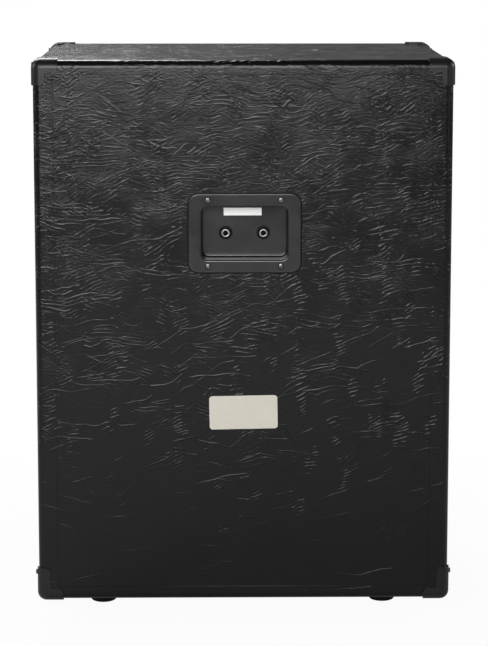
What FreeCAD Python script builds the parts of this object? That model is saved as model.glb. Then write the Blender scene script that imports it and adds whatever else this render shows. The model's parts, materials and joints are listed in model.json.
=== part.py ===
import FreeCAD, Part
import math
import os
import re
import Sketcher
from FreeCAD import Placement, Rotation, Vector

# A guitar speaker cabinet, in millimetres.
# The grille faces -Y, the jack plate faces +Y, +Z is up and the floor is z = 0.

SIZES = {
    # Box of plywood under a vinyl covering
    "cabinet_width": 520.0,
    "cabinet_depth": 360.0,
    "cabinet_height": 686.0,
    "panel_thickness": 18.0,
    "cover_thickness": 1.0,
    "edge_round": 9.5,
    "lip_round": 4.0,
    "back_thickness": 15.0,
    "back_rabbet": 9.0,
    "flap_side": 25.0,
    "flap_end": 18.0,
    "seam_gap": 0.4,
    # Baffle board and the battens behind it
    "baffle_setback": 36.0,
    "baffle_thickness": 18.0,
    "cleat_width": 20.0,
    "baffle_screw_edge": 10.0,
    "baffle_screw_end": 64.0,
    "baffle_screw_spread": 170.0,
    # Wood screws
    "shank_clearance": 0.1,
    "small_head_radius": 3.5,
    "small_head_height": 2.0,
    "small_shank_radius": 1.75,
    "small_screw_length": 14.0,
    "baffle_head_radius": 4.0,
    "baffle_head_height": 2.6,
    "baffle_shank_radius": 2.0,
    "baffle_screw_length": 32.0,
    # Corner protectors
    "corner_thickness": 2.0,
    "corner_leg": 31.0,
    "corner_long_leg": 42.0,
    "corner_leg_width": 15.0,
    "corner_leg_round": 7.0,
    "corner_screw_inset": 35.5,
    # Rubber feet
    "foot_height": 25.0,
    "foot_top_radius": 19.0,
    "foot_bottom_radius": 16.5,
    "foot_edge": 1.5,
    "foot_inset_side": 78.0,
    "foot_inset_end": 84.0,
    "foot_recess_radius": 9.0,
    "foot_recess_height": 12.0,
    "washer_radius": 8.6,
    "washer_thickness": 1.2,
    "foot_head_radius": 5.0,
    "foot_head_height": 3.0,
    "foot_shank_radius": 2.5,
    "foot_screw_bite": 15.0,
    # Recessed jack plate
    "jack_plate_width": 140.0,
    "jack_plate_height": 99.0,
    "jack_plate_thickness": 1.8,
    "jack_plate_round": 12.7,
    "jack_plate_shift": -1.5,
    "jack_plate_drop": 215.0,
    "dish_mouth_width": 111.8,
    "dish_mouth_height": 71.4,
    "dish_depth": 26.0,
    "dish_draft": 4.0,
    "dish_wall": 2.0,
    "dish_round": 8.0,
    "cutout_clearance": 0.5,
    "plate_screw_across": 91.0,
    "plate_screw_up": 83.0,
    "plate_head_depth": 1.6,
    # Jack sockets
    "jack_pitch": 47.3,
    "jack_drop": 2.5,
    "bush_radius": 5.9,
    "bush_reach": 5.5,
    "bush_clearance": 0.15,
    "ferrule_radius": 4.4,
    "ferrule_ring_radius": 5.2,
    "ferrule_ring_height": 0.8,
    "ferrule_inset": 6.0,
    "jack_bore_radius": 3.25,
    "jack_body_width": 22.0,
    "jack_body_depth": 30.0,
    "jack_cavity_radius": 5.5,
    "nut_flange_radius": 8.6,
    "nut_flange_height": 1.0,
    "nut_radius": 8.0,
    "nut_height": 3.6,
    "tag_width": 4.0,
    "tag_thickness": 0.6,
    "tag_length": 8.0,
    # Blank label and sticker
    "label_width": 85.6,
    "label_height": 42.7,
    "label_round": 4.0,
    "label_thickness": 0.2,
    "label_drop": 442.5,
    "label_tilt": 1.0,
    "sticker_width": 47.5,
    "sticker_height": 9.7,
    "sticker_thickness": 0.15,
    "sticker_rise": 24.0,
    "sticker_shift": 2.3,
    # Recessed side handles
    "handle_rise": 40.0,
    "handle_setback": 23.0,
    "handle_plate_width": 150.0,
    "handle_plate_height": 110.0,
    "handle_plate_thickness": 1.5,
    "handle_plate_round": 10.0,
    "handle_mouth_width": 126.0,
    "handle_mouth_height": 86.0,
    "handle_depth": 40.0,
    "handle_draft": 3.0,
    "handle_wall": 1.5,
    "handle_round": 12.0,
    "handle_screw_across": 138.0,
    "handle_screw_up": 98.0,
    "bail_rod_radius": 4.0,
    "bail_half_span": 40.0,
    "bail_drop": 46.0,
    "bail_bend": 7.0,
    "bail_stub": 16.0,
    "pivot_rise": 28.0,
    "pivot_depth": 8.0,
    "pivot_clearance": 0.05,
    "lug_gap": 8.0,
    "lug_wall": 4.0,
    "grip_radius": 9.0,
    "grip_length": 62.0,
    "grip_edge": 2.0,
    # Twelve inch drivers
    "speaker_gap": 10.4,
    "speaker_margin": 9.2,
    "flange_land": 12.8,
    "flange_thickness": 2.0,
    "bolt_edge": 6.3,
    "basket_wall": 2.0,
    "rim_clearance": 3.0,
    "shoulder_taper": 4.0,
    "basket_shoulder_depth": 24.0,
    "basket_shelf_radius": 88.0,
    "basket_shelf_step": 16.0,
    "basket_neck_radius": 68.0,
    "basket_depth": 76.0,
    "basket_hole_radius": 34.0,
    "window_inner_margin": 4.0,
    "window_outer_margin": 5.0,
    "window_inner_width": 42.0,
    "window_outer_width": 74.0,
    "gasket_inner_inset": 11.4,
    "gasket_outer_inset": 0.8,
    "gasket_height": 6.0,
    "gasket_notch_radius": 8.0,
    "surround_clearance": 0.4,
    "surround_width": 11.0,
    "surround_thickness": 0.8,
    "surround_roll": 2.4,
    "cone_apex_gap": 22.0,
    "cone_thickness": 1.0,
    "cone_sag": 3.0,
    "dust_cap_height": 12.0,
    "dust_cap_thickness": 0.8,
    "dust_cap_lift": 0.3,
    "former_radius": 22.8,
    "former_wall": 0.4,
    "former_lead": 4.0,
    "winding_thickness": 0.6,
    "winding_length": 12.0,
    "coil_gap": 0.6,
    "spider_thickness": 0.8,
    "spider_roll": 2.6,
    "spider_land": 4.0,
    "top_plate_radius": 62.0,
    "top_plate_thickness": 8.0,
    "magnet_radius": 78.0,
    "magnet_hole_radius": 34.0,
    "magnet_thickness": 22.0,
    "yoke_radius": 64.0,
    "yoke_thickness": 8.0,
    "vent_radius": 8.0,
    "terminal_width": 32.0,
    "terminal_height": 15.0,
    "terminal_thickness": 2.0,
    "terminal_tag_pitch": 18.0,
    "terminal_tag_width": 6.0,
    "terminal_tag_length": 9.0,
    # Driver bolts and tee nuts
    "bolt_head_radius": 4.8,
    "bolt_head_height": 3.0,
    "bolt_radius": 2.6,
    "bolt_length": 25.0,
    "bolt_clearance": 0.3,
    "tee_flange_radius": 8.5,
    "tee_flange_thickness": 1.5,
    "tee_barrel_radius": 3.8,
    "tee_barrel_length": 9.0,
    # Pull-off grille
    "grille_clearance": 0.4,
    "piping_radius": 2.0,
    "cloth_thickness": 0.8,
    "grille_round": 6.0,
    "stile_depth": 18.0,
    "stile_width": 30.0,
    "rail_depth": 9.0,
    "rail_width": 30.0,
    "pad_thickness": 2.0,
    "pad_width": 20.0,
    "pad_length": 50.0,
    "pad_pitch": 200.0,
}
FINGERS = 9
WINDOWS = 8
SURROUND_ROLLS = 2
SPIDER_ROLLS = 4

# Places that several pieces share
TOP = "(foot_height + cabinet_height)"
MIDDLE = "(foot_height + cabinet_height / 2)"
FRONT = "(-cabinet_depth / 2)"
BACK = "(cabinet_depth / 2)"
SIDE = "(cabinet_width / 2)"
WOOD_SIDE = f"({SIDE} - cover_thickness)"
WOOD_FRONT = f"({FRONT} + cover_thickness)"
WOOD_BACK = f"({BACK} - cover_thickness)"
WOOD_LOW = "(foot_height + cover_thickness)"
WOOD_TOP = f"({TOP} - cover_thickness)"
INNER_SIDE = f"({WOOD_SIDE} - panel_thickness)"
INNER_LOW = f"({WOOD_LOW} + panel_thickness)"
INNER_TOP = f"({WOOD_TOP} - panel_thickness)"
BACK_INSIDE = f"({WOOD_BACK} - back_thickness)"
BAFFLE_FRONT = f"({FRONT} + baffle_setback)"
BAFFLE_REAR = f"({BAFFLE_FRONT} + baffle_thickness)"
PLATE_Z = f"({TOP} - jack_plate_drop)"
HANDLE_Z = f"({MIDDLE} + handle_rise)"
HANDLE_Y = f"({BAFFLE_REAR} + cleat_width + handle_setback + handle_mouth_width / 2)"
FLANGE_RADIUS = f"(({INNER_TOP} - {INNER_LOW} - speaker_gap - 2 * speaker_margin) / 4)"
LOWER_Z = f"({MIDDLE} - {FLANGE_RADIUS} - speaker_gap / 2)"
UPPER_Z = f"({MIDDLE} + {FLANGE_RADIUS} + speaker_gap / 2)"
CUTOUT_RADIUS = f"({FLANGE_RADIUS} - flange_land)"
BOLT_CIRCLE = f"({FLANGE_RADIUS} - bolt_edge)"
RIM_RADIUS = f"({CUTOUT_RADIUS} - rim_clearance)"
SHOULDER_RADIUS = f"({RIM_RADIUS} - shoulder_taper)"
GASKET_INNER = f"({FLANGE_RADIUS} - gasket_inner_inset)"
GASKET_OUTER = f"({FLANGE_RADIUS} - gasket_outer_inset)"
CONE_RADIUS = f"({RIM_RADIUS} - basket_wall - surround_width)"
SHELF_DEPTH = "(basket_depth - basket_shelf_step)"
CONE_DEPTH = "(basket_depth - cone_apex_gap)"
LIP_SIDE = f"({INNER_SIDE} - cover_thickness)"
LIP_LOW = f"({INNER_LOW} + cover_thickness)"
LIP_TOP = f"({INNER_TOP} - cover_thickness)"
DISH_FLOOR = f"({BACK} + jack_plate_thickness - dish_depth)"

# Ways that a screw modelled head-up along +Z can be turned to face
TO_RIGHT = Rotation(Vector(0, 1, 0), 90)
TO_BACK = Rotation(Vector(1, 0, 0), -90)
TO_FRONT = Rotation(Vector(1, 0, 0), 90)
TO_FLOOR = Rotation(Vector(1, 0, 0), 180)
# A piece modelled facing +Y is turned by this to face +X
SIDEWAYS = Rotation(Vector(0, 0, 1), -90)

doc = FreeCAD.newDocument("SpeakerCabinet")
sheet = doc.addObject("Spreadsheet::Sheet", "Sizes")
nodes = {}


def fill_sheet():
    """Write each driving size to its own named cell."""
    for row, (name, value) in enumerate(SIZES.items(), 1):
        sheet.set(f"A{row}", name)
        sheet.set(f"B{row}", str(value))
        sheet.setAlias(f"B{row}", name)
    doc.recompute()


def expand(text):
    """Point each size name in an expression at its cell."""
    return re.sub(r"[a-z_]+", lambda m: f"Sizes.{m[0]}" if m[0] in SIZES else m[0], text)


def number(text):
    """Return what an expression comes to."""
    return float(sheet.evalExpression(expand(text)))


def bind(thing, prop, text):
    """Drive a property by an expression."""
    thing.setExpression(prop, expand(text))


def keep(name, thing):
    """Name a finished piece; it is written out under that name."""
    thing.Label = name
    nodes[name] = thing
    return thing


def move(thing, x="0", y="0", z="0"):
    """Drive a piece's position."""
    for axis, text in zip("xyz", (x, y, z)):
        bind(thing, f"Placement.Base.{axis}", text)
    return thing


def stretch(block, low, high):
    """Drive a block's two opposite corners."""
    move(block, *low)
    for prop, a, b in zip(("Length", "Width", "Height"), low, high):
        bind(block, prop, f"({b}) - ({a})")
    return block


def box(low, high):
    """Make a plain block between two corners."""
    return stretch(doc.addObject("Part::Box", "block"), low, high)


def rod(turn, radius, length, x="0", y="0", z="0"):
    """Make a cylinder that starts at a point and runs the way +Z is turned to."""
    cylinder = doc.addObject("Part::Cylinder", "rod")
    cylinder.Placement = Placement(Vector(), turn)
    bind(cylinder, "Radius", radius)
    bind(cylinder, "Height", length)
    return move(cylinder, x, y, z)


def placed(source, x="0", y="0", z="0", turn=Rotation()):
    """Make a copy of a piece somewhere else."""
    copy = doc.addObject("Part::Compound", "copy")
    copy.Links = [source]
    copy.Placement = Placement(Vector(), turn)
    return move(copy, x, y, z)


def mirrored(source, normal, height="0"):
    """Make a mirror image of a piece in a plane through the middle."""
    image = doc.addObject("Part::Mirroring", "mirror")
    image.Source = source
    image.Normal = normal
    bind(image, "Base.z", height)
    return image


def group(pieces):
    """Hold several separate solids together as one piece."""
    holder = doc.addObject("Part::Compound", "group")
    holder.Links = pieces
    return holder


def fuse(pieces):
    """Join pieces into one solid."""
    joined = doc.addObject("Part::MultiFuse", "joined")
    joined.Shapes = pieces
    joined.Refine = True
    return joined


def cut(base, tools):
    """Take tools away from a piece."""
    left = doc.addObject("Part::Cut", "cut")
    left.Base = base
    left.Tool = tools[0] if len(tools) == 1 else fuse(tools)
    return left


def common(first, second):
    """Keep what two pieces share."""
    shared = doc.addObject("Part::Common", "shared")
    shared.Base = first
    shared.Tool = second
    return shared


def four_ways(source):
    """Repeat a piece in both side planes, which gives four."""
    pair = group([source, mirrored(source, Vector(1, 0, 0))])
    return group([pair, mirrored(pair, Vector(0, 1, 0))])


def outline(body, plane, points):
    """Add a closed sketch with straight sides; each corner is two expressions."""
    sketch = body.newObject("Sketcher::SketchObject", "sketch")
    support = [part for part in body.Origin.OriginFeatures if part.Role == plane][0]
    sketch.AttachmentSupport = [(support, "")]
    sketch.MapMode = "FlatFace"
    spots = [Vector(number(across), number(up), 0) for across, up in points]
    for start, end in zip(spots, spots[1:] + spots[:1]):
        sketch.addGeometry(Part.LineSegment(start, end), False)
    for side, (spot, texts) in enumerate(zip(spots, points)):
        before = (side - 1) % len(spots)
        sketch.addConstraint(Sketcher.Constraint("Coincident", before, 2, side, 1))
        for kind, axis, value, text in zip(("DistanceX", "DistanceY"), (-2, -1), spot, texts):
            if text == "0":
                sketch.addConstraint(Sketcher.Constraint("PointOnObject", side, 1, axis))
                continue
            index = sketch.addConstraint(Sketcher.Constraint(kind, -1, 1, side, 1, value))
            bind(sketch, f"Constraints[{index}]", text)
    return sketch


def turned(plane, points):
    """Turn an outline of (radius, distance along) about its sketch's upright axis."""
    body = doc.addObject("PartDesign::Body", "turned")
    sketch = outline(body, plane, points)
    spin = body.newObject("PartDesign::Revolution", "spin")
    spin.Profile = sketch
    spin.ReferenceAxis = (sketch, ["V_Axis"])
    spin.Angle = 360
    body.Tip = spin
    return body


def padded(plane, points, length):
    """Give an outline a thickness along its sketch's normal."""
    body = doc.addObject("PartDesign::Body", "padded")
    sketch = outline(body, plane, points)
    pad = body.newObject("PartDesign::Pad", "pad")
    pad.Profile = sketch
    bind(pad, "Length", length)
    body.Tip = pad
    return body


def ease(body, base, radius, picks):
    """Round the edges of a body's last feature that a test picks."""
    doc.recompute()
    rounding = body.newObject("PartDesign::Fillet", "rounding")
    rounding.Base = (base, [f"Edge{n}" for n, edge in enumerate(base.Shape.Edges, 1) if picks(edge)])
    bind(rounding, "Radius", radius)
    body.Tip = rounding
    return rounding


def eased_block(low, high, radius, picks):
    """Make a block and round the edges that a test picks."""
    body = doc.addObject("PartDesign::Body", "eased")
    block = stretch(body.newObject("PartDesign::AdditiveBox", "core"), low, high)
    ease(body, block, radius, picks)
    return body


def along(axis):
    """Return a test for straight edges that run along an axis."""
    return lambda edge: abs(edge.tangentAt(edge.FirstParameter).dot(axis)) > 0.9


def every(edge):
    """Pick every edge."""
    return True


def envelope(inset):
    """Make the rounded outside of the cabinet, moved in by a distance."""
    low = (f"{inset} - {SIDE}", f"{FRONT} + {inset}", f"foot_height + {inset}")
    high = (f"{SIDE} - {inset}", f"{BACK} - {inset}", f"{TOP} - {inset}")
    return eased_block(low, high, f"edge_round - {inset}", every)


def open_box(inset):
    """Make the rounded cabinet block with its front recess, moved in by a distance."""
    body = doc.addObject("PartDesign::Body", "open_box")
    low = (f"{inset} - {SIDE}", f"{FRONT} + {inset}", f"foot_height + {inset}")
    high = (f"{SIDE} - {inset}", f"{BACK} - {inset}", f"{TOP} - {inset}")
    block = stretch(body.newObject("PartDesign::AdditiveBox", "core"), low, high)
    rounded = ease(body, block, f"edge_round - {inset}", every)
    reach = f"(cover_thickness - {inset})"
    recess_low = (f"{reach} - {INNER_SIDE}", FRONT, f"{INNER_LOW} + {reach}")
    recess_high = (f"{INNER_SIDE} - {reach}", BAFFLE_FRONT, f"{INNER_TOP} - {reach}")
    recess = stretch(body.newObject("PartDesign::SubtractiveBox", "recess"), recess_low, recess_high)
    doc.recompute()
    front = number(f"{FRONT} + {inset}")
    half = number(recess_high[0])
    tall = (number(recess_low[2]), number(recess_high[2]))

    def at_mouth(edge):
        spot = edge.CenterOfMass
        on_side = abs(abs(spot.x) - half) < 0.01
        on_end = min(abs(spot.z - tall[0]), abs(spot.z - tall[1])) < 0.01
        return abs(spot.y - front) < 0.01 and (on_side or on_end)

    ease(body, recess, f"lip_round - {inset}", at_mouth)
    return body


def screw(head_radius, head_height, shank_radius, length, sunk=False):
    """Make a cross-head wood screw, head up, seated at the origin."""
    if sunk:
        head = [("0", "0"), (head_radius, "0"), (shank_radius, f"-{head_height}")]
        slot_top, slot_depth = "0", f"0.7 * {head_height}"
    else:
        head = [
            ("0", head_height),
            (f"0.6 * {head_radius}", f"0.95 * {head_height}"),
            (f"0.9 * {head_radius}", f"0.65 * {head_height}"),
            (head_radius, "0"),
            (shank_radius, "0"),
        ]
        slot_top, slot_depth = head_height, f"0.6 * {head_height}"
    tip = [(shank_radius, f"{shank_radius} - {length}"), ("0", f"-{length}")]
    blank = turned("XZ_Plane", head + tip)
    long, thin = f"0.55 * {head_radius}", f"0.12 * {head_radius}"
    floor = f"{slot_top} - {slot_depth}"
    slots = [
        box((f"-{a}", f"-{b}", floor), (a, b, f"{slot_top} + 1"))
        for a, b in ((long, thin), (thin, long))
    ]
    return cut(blank, slots)


def sink(head_radius, head_height, shank_radius, length):
    """Make the hole that a countersunk screw fills, with its clearance, head up."""
    gap = "shank_clearance"
    points = [
        ("0", "1"),
        (f"{head_radius} + {gap}", "1"),
        (f"{head_radius} + {gap}", "0"),
        (f"{shank_radius} + {gap}", f"-{head_height}"),
        (f"{shank_radius} + {gap}", f"-{length} - 1"),
        ("0", f"-{length} - 1"),
    ]
    return turned("XZ_Plane", points)


def corner_spots():
    """Return where the upper and lower corner screws seat, on the right at the back."""
    across = "corner_leg_width / 2"
    face = f"{SIDE} + corner_thickness"
    upper = (face, f"{BACK} - corner_screw_inset", f"{TOP} - {across}")
    lower = (face, f"{BACK} - {across}", "foot_height + corner_screw_inset")
    return upper, lower


def cabinet_shapes():
    """Make the tools that the panels and the covering share."""
    tools = {"wood": open_box("cover_thickness"), "cover": open_box("0")}
    rabbet = "back_rabbet"
    tools["back"] = box(
        (f"-{INNER_SIDE} - {rabbet}", BACK_INSIDE, f"{INNER_LOW} - {rabbet}"),
        (f"{INNER_SIDE} + {rabbet}", WOOD_BACK, f"{INNER_TOP} + {rabbet}"),
    )
    grow = "(handle_wall + cutout_clearance)"
    half_long = f"(handle_mouth_width / 2 + {grow})"
    half_tall = f"(handle_mouth_height / 2 + {grow})"
    tools["handle"] = eased_block(
        (f"{INNER_SIDE} - 2", f"{HANDLE_Y} - {half_long}", f"{HANDLE_Z} - {half_tall}"),
        (f"{SIDE} + 2", f"{HANDLE_Y} + {half_long}", f"{HANDLE_Z} + {half_tall}"),
        f"handle_round + {grow}",
        along(Vector(1, 0, 0)),
    )
    tools["handle_holes"] = group(
        [
            rod(
                TO_RIGHT,
                "small_shank_radius + shank_clearance",
                "small_screw_length",
                f"{SIDE} + 1 - small_screw_length",
                f"{HANDLE_Y} + {along_y} * handle_screw_across / 2",
                f"{HANDLE_Z} + {up} * handle_screw_up / 2",
            )
            for along_y in (-1, 1)
            for up in (-1, 1)
        ]
    )
    one_side = []
    for spot in corner_spots():
        hole = rod(
            TO_RIGHT,
            "small_shank_radius + shank_clearance",
            "small_screw_length + 2 * corner_thickness",
            f"{spot[0]} - small_screw_length - corner_thickness",
            spot[1],
            spot[2],
        )
        one_side += [hole, mirrored(hole, Vector(0, 1, 0))]
    tools["corner_holes"] = group(one_side)
    foot_hole = rod(
        Rotation(),
        "foot_shank_radius + shank_clearance",
        "cover_thickness + foot_screw_bite + 3",
        f"{SIDE} - foot_inset_side",
        f"{BACK} - foot_inset_end",
        "foot_height - 1",
    )
    tools["foot_holes"] = four_ways(foot_hole)
    return tools


def finger_blocks(parity, side, end):
    """Return the corner blocks of one finger joint that have one parity."""
    step = f"({WOOD_BACK} - {WOOD_FRONT}) / {FINGERS}"
    xs = (INNER_SIDE, SIDE) if side > 0 else (f"-{SIDE}", f"-{INNER_SIDE}")
    zs = (INNER_TOP, TOP) if end > 0 else ("foot_height", INNER_LOW)
    return [
        box(
            (xs[0], f"{WOOD_FRONT} + {n} * {step}", zs[0]),
            (xs[1], f"{WOOD_FRONT} + {n + 1} * {step}", zs[1]),
        )
        for n in range(FINGERS)
        if n % 2 == parity
    ]


def build_panels(tools):
    """Make the finger-jointed box and the back panel let into it."""
    for name, side in (("right_side_panel", 1), ("left_side_panel", -1)):
        xs = (INNER_SIDE, WOOD_SIDE) if side > 0 else (f"-{WOOD_SIDE}", f"-{INNER_SIDE}")
        blank = box((xs[0], WOOD_FRONT, WOOD_LOW), (xs[1], WOOD_BACK, WOOD_TOP))
        holes = [tools["handle"], tools["handle_holes"], tools["corner_holes"]]
        if side < 0:
            holes = [mirrored(hole, Vector(1, 0, 0)) for hole in holes]
        notches = finger_blocks(1, side, 1) + finger_blocks(1, side, -1)
        shaped = cut(blank, notches + holes + [tools["back"]])
        keep(name, common(shaped, tools["wood"]))
    for name, end in (("top_panel", 1), ("bottom_panel", -1)):
        zs = (INNER_TOP, WOOD_TOP) if end > 0 else (WOOD_LOW, INNER_LOW)
        blank = box((f"-{WOOD_SIDE}", WOOD_FRONT, zs[0]), (WOOD_SIDE, WOOD_BACK, zs[1]))
        notches = finger_blocks(0, 1, end) + finger_blocks(0, -1, end)
        corner = [tools["corner_holes"], mirrored(tools["corner_holes"], Vector(1, 0, 0))]
        shaped = cut(blank, notches + corner + [tools["back"], tools["foot_holes"]])
        keep(name, common(shaped, tools["wood"]))


def plate_hole():
    """Make the hole that the jack dish goes through."""
    grow = "(dish_wall + cutout_clearance)"
    half_wide = f"(dish_mouth_width / 2 + {grow})"
    half_tall = f"(dish_mouth_height / 2 + {grow})"
    return eased_block(
        (f"jack_plate_shift - {half_wide}", f"{BACK_INSIDE} - 1", f"{PLATE_Z} - {half_tall}"),
        (f"jack_plate_shift + {half_wide}", f"{BACK} + 1", f"{PLATE_Z} + {half_tall}"),
        f"dish_round + {grow}",
        along(Vector(0, 1, 0)),
    )


def plate_screw_spots():
    """Return where the jack plate's four screws seat."""
    return [
        (
            f"jack_plate_shift + {across} * plate_screw_across / 2",
            f"{BACK} + jack_plate_thickness",
            f"{PLATE_Z} + {up} * plate_screw_up / 2",
        )
        for across in (-1, 1)
        for up in (-1, 1)
    ]


def build_back(tools):
    """Make the back panel, its sheet of covering and the covering round the rest."""
    hole = plate_hole()
    sizes = ("small_head_radius", "plate_head_depth", "small_shank_radius", "small_screw_length")
    sunk = sink(*sizes)
    screw_holes = [placed(sunk, *spot, TO_BACK) for spot in plate_screw_spots()]
    tools["plate_holes"] = group(screw_holes)
    corner_holes = [tools["corner_holes"], mirrored(tools["corner_holes"], Vector(1, 0, 0))]
    keep("back_panel", cut(tools["back"], [hole, tools["plate_holes"]] + corner_holes))
    half, low, high = f"({SIDE} - flap_side)", "foot_height + flap_end", f"{TOP} - flap_end"
    sheet_block = box((f"-{half}", WOOD_BACK, low), (half, BACK, high))
    keep("vinyl_back_sheet", cut(sheet_block, [hole, tools["plate_holes"]]))
    gap = "seam_gap"
    room = box(
        (f"-{half} - {gap}", f"{WOOD_BACK} - 1", f"{low} - {gap}"),
        (f"{half} + {gap}", f"{BACK} + 1", f"{high} + {gap}"),
    )
    sides = [tools["handle"], tools["handle_holes"], tools["corner_holes"]]
    sides += [mirrored(side, Vector(1, 0, 0)) for side in sides]
    keep("vinyl_wrap", cut(tools["cover"], [tools["wood"], room, tools["foot_holes"]] + sides))


def corner_piece(legs, spot):
    """Make the corner protector at the right, back and top, with legs along X, Y and Z."""
    shell = cut(envelope("(-corner_thickness)"), [envelope("0")])
    far = (f"{SIDE} + 5", f"{BACK} + 5", f"{TOP} + 5")
    bars = []
    for axis in range(3):
        low = [f"{SIDE} - corner_leg_width", f"{BACK} - corner_leg_width", f"{TOP} - corner_leg_width"]
        low[axis] = f"{(SIDE, BACK, TOP)[axis]} - {legs[axis]}"
        ends = [number(text) for text in low]

        def at_end(edge, axis=axis, ends=ends):
            spot = edge.CenterOfMass
            near = [abs(spot[k] - ends[k]) < 0.01 for k in range(3)]
            return near[axis] and sum(near) == 2

        bars.append(eased_block(low, far, "corner_leg_round", at_end))
    hole = rod(TO_RIGHT, "small_shank_radius + shank_clearance", "20", f"{SIDE} - 10", spot[1], spot[2])
    return cut(common(shell, fuse(bars)), [hole])


def build_corners():
    """Make the eight corner protectors and their screws."""
    upper_spot, lower_spot = corner_spots()
    flip = Vector(0, 0, 1)
    upper = corner_piece(("corner_leg", "corner_long_leg", "corner_leg"), upper_spot)
    raised_spot = (lower_spot[0], lower_spot[1], f"2 * {MIDDLE} - ({lower_spot[2]})")
    lower = corner_piece(("corner_leg", "corner_leg", "corner_long_leg"), raised_spot)
    lower = mirrored(lower, flip, MIDDLE)
    for name, piece in (("upper", upper), ("lower", lower)):
        pair = keep(f"{name}_rear_corners", group([piece, mirrored(piece, Vector(1, 0, 0))]))
        keep(f"{name}_front_corners", mirrored(pair, Vector(0, 1, 0)))
    sizes = ("small_head_radius", "small_head_height", "small_shank_radius", "small_screw_length")
    pattern = screw(*sizes)
    right = group([placed(pattern, *spot, TO_RIGHT) for spot in (upper_spot, lower_spot)])
    keep("corner_screws", four_ways(right))


def build_feet():
    """Make the four rubber feet with the washers and screws inside them."""
    spot = (f"{SIDE} - foot_inset_side", f"{BACK} - foot_inset_end")
    bore = "foot_shank_radius + shank_clearance"
    foot = turned(
        "XZ_Plane",
        [
            ("foot_recess_radius", "0"),
            ("foot_bottom_radius - foot_edge", "0"),
            ("foot_bottom_radius - 0.3 * foot_edge", "0.3 * foot_edge"),
            ("foot_bottom_radius", "foot_edge"),
            ("foot_top_radius", "foot_height - foot_edge"),
            ("foot_top_radius - 0.3 * foot_edge", "foot_height"),
            (bore, "foot_height"),
            (bore, "foot_recess_height"),
            ("foot_recess_radius", "foot_recess_height"),
        ],
    )
    keep("feet", four_ways(placed(foot, *spot)))
    seat = "foot_recess_height - washer_thickness"
    washer = turned(
        "XZ_Plane",
        [
            (bore, seat),
            ("washer_radius", seat),
            ("washer_radius", "foot_recess_height"),
            (bore, "foot_recess_height"),
        ],
    )
    keep("foot_washers", four_ways(placed(washer, *spot)))
    reach = f"foot_height - ({seat}) + cover_thickness + foot_screw_bite"
    pattern = screw("foot_head_radius", "foot_head_height", "foot_shank_radius", f"({reach})")
    keep("foot_screws", four_ways(placed(pattern, *spot, seat, TO_FLOOR)))


def frustum(mouth, draft, start, end, radius, floor_radius):
    """Make a drafted pan that narrows from a mouth at one Y to a floor at a lower Y."""
    body = doc.addObject("PartDesign::Body", "pan")
    wedge = body.newObject("PartDesign::AdditiveWedge", "wedge")
    for prop, text in (("Ymin", end), ("Ymax", start)):
        bind(wedge, prop, text)
    for letter, size in zip("XZ", mouth):
        bind(wedge, f"{letter}min", f"{draft} - ({size}) / 2")
        bind(wedge, f"{letter}max", f"({size}) / 2 - {draft}")
        bind(wedge, f"{letter}2min", f"-({size}) / 2")
        bind(wedge, f"{letter}2max", f"({size}) / 2")
    upright = along(Vector(0, 1, 0))
    corners = ease(body, wedge, radius, upright)
    floor = number(end)

    def on_floor(edge):
        box_of_edge = edge.BoundBox
        return abs(box_of_edge.YMin - floor) < 0.01 and box_of_edge.YLength < 0.01

    ease(body, corners, floor_radius, on_floor)
    return body


def recessed_plate(kind, wall, draft, mouth):
    """Make a flanged pan that faces +Y, with its flange's underside at y = 0."""
    width, height = f"{kind}_plate_width / 2", f"{kind}_plate_height / 2"
    face, depth, corner = mouth
    body = doc.addObject("PartDesign::Body", "flange")
    low, high = (f"-{width}", "0", f"-{height}"), (width, face, height)
    block = stretch(body.newObject("PartDesign::AdditiveBox", "core"), low, high)
    rounded = ease(body, block, f"{kind}_plate_round", along(Vector(0, 1, 0)))
    rim = number(face)

    def at_front(edge):
        return abs(edge.BoundBox.YMin - rim) < 0.01

    ease(body, rounded, f"0.5 * {face}", at_front)
    stem = "dish" if kind == "jack" else kind
    inside = (f"{stem}_mouth_width", f"{stem}_mouth_height")
    outside = [f"{size} + 2 * {wall}" for size in inside]
    floor = f"{face} - {depth}"
    shell = frustum(outside, draft, f"0.5 * {face}", f"{floor} - {wall}", f"{corner} + {wall}", f"2 * {wall}")
    room = frustum(inside, draft, face, floor, corner, wall)
    return fuse([body, shell]), room


def build_jack_plate():
    """Make the recessed plate, its screws and the blank sticker."""
    form, room = recessed_plate(
        "jack", "dish_wall", "dish_draft", ("jack_plate_thickness", "dish_depth", "dish_round")
    )
    floor = "jack_plate_thickness - dish_depth"
    holes = [
        rod(
            TO_BACK,
            "bush_radius + bush_clearance",
            "2 * dish_wall + 2",
            f"{side} * jack_pitch / 2",
            f"{floor} - 2 * dish_wall",
            "-jack_drop",
        )
        for side in (-1, 1)
    ]
    sizes = ("small_head_radius", "plate_head_depth", "small_shank_radius", "small_screw_length")
    sunk = sink(*sizes)
    spots = [
        (f"{across} * plate_screw_across / 2", "jack_plate_thickness", f"{up} * plate_screw_up / 2")
        for across in (-1, 1)
        for up in (-1, 1)
    ]
    holes += [placed(sunk, *spot, TO_BACK) for spot in spots]
    keep("jack_plate", placed(cut(form, [room] + holes), "jack_plate_shift", BACK, PLATE_Z))
    pattern = screw(*sizes, sunk=True)
    keep("jack_plate_screws", group([placed(pattern, *spot, TO_BACK) for spot in plate_screw_spots()]))
    half = ("sticker_width / 2", "sticker_height / 2")
    sticker = box((f"-{half[0]}", "0", f"-{half[1]}"), (half[0], "sticker_thickness", half[1]))
    spot = ("jack_plate_shift + sticker_shift", DISH_FLOOR, f"{PLATE_Z} + sticker_rise")
    keep("serial_sticker", placed(sticker, *spot))


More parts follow.
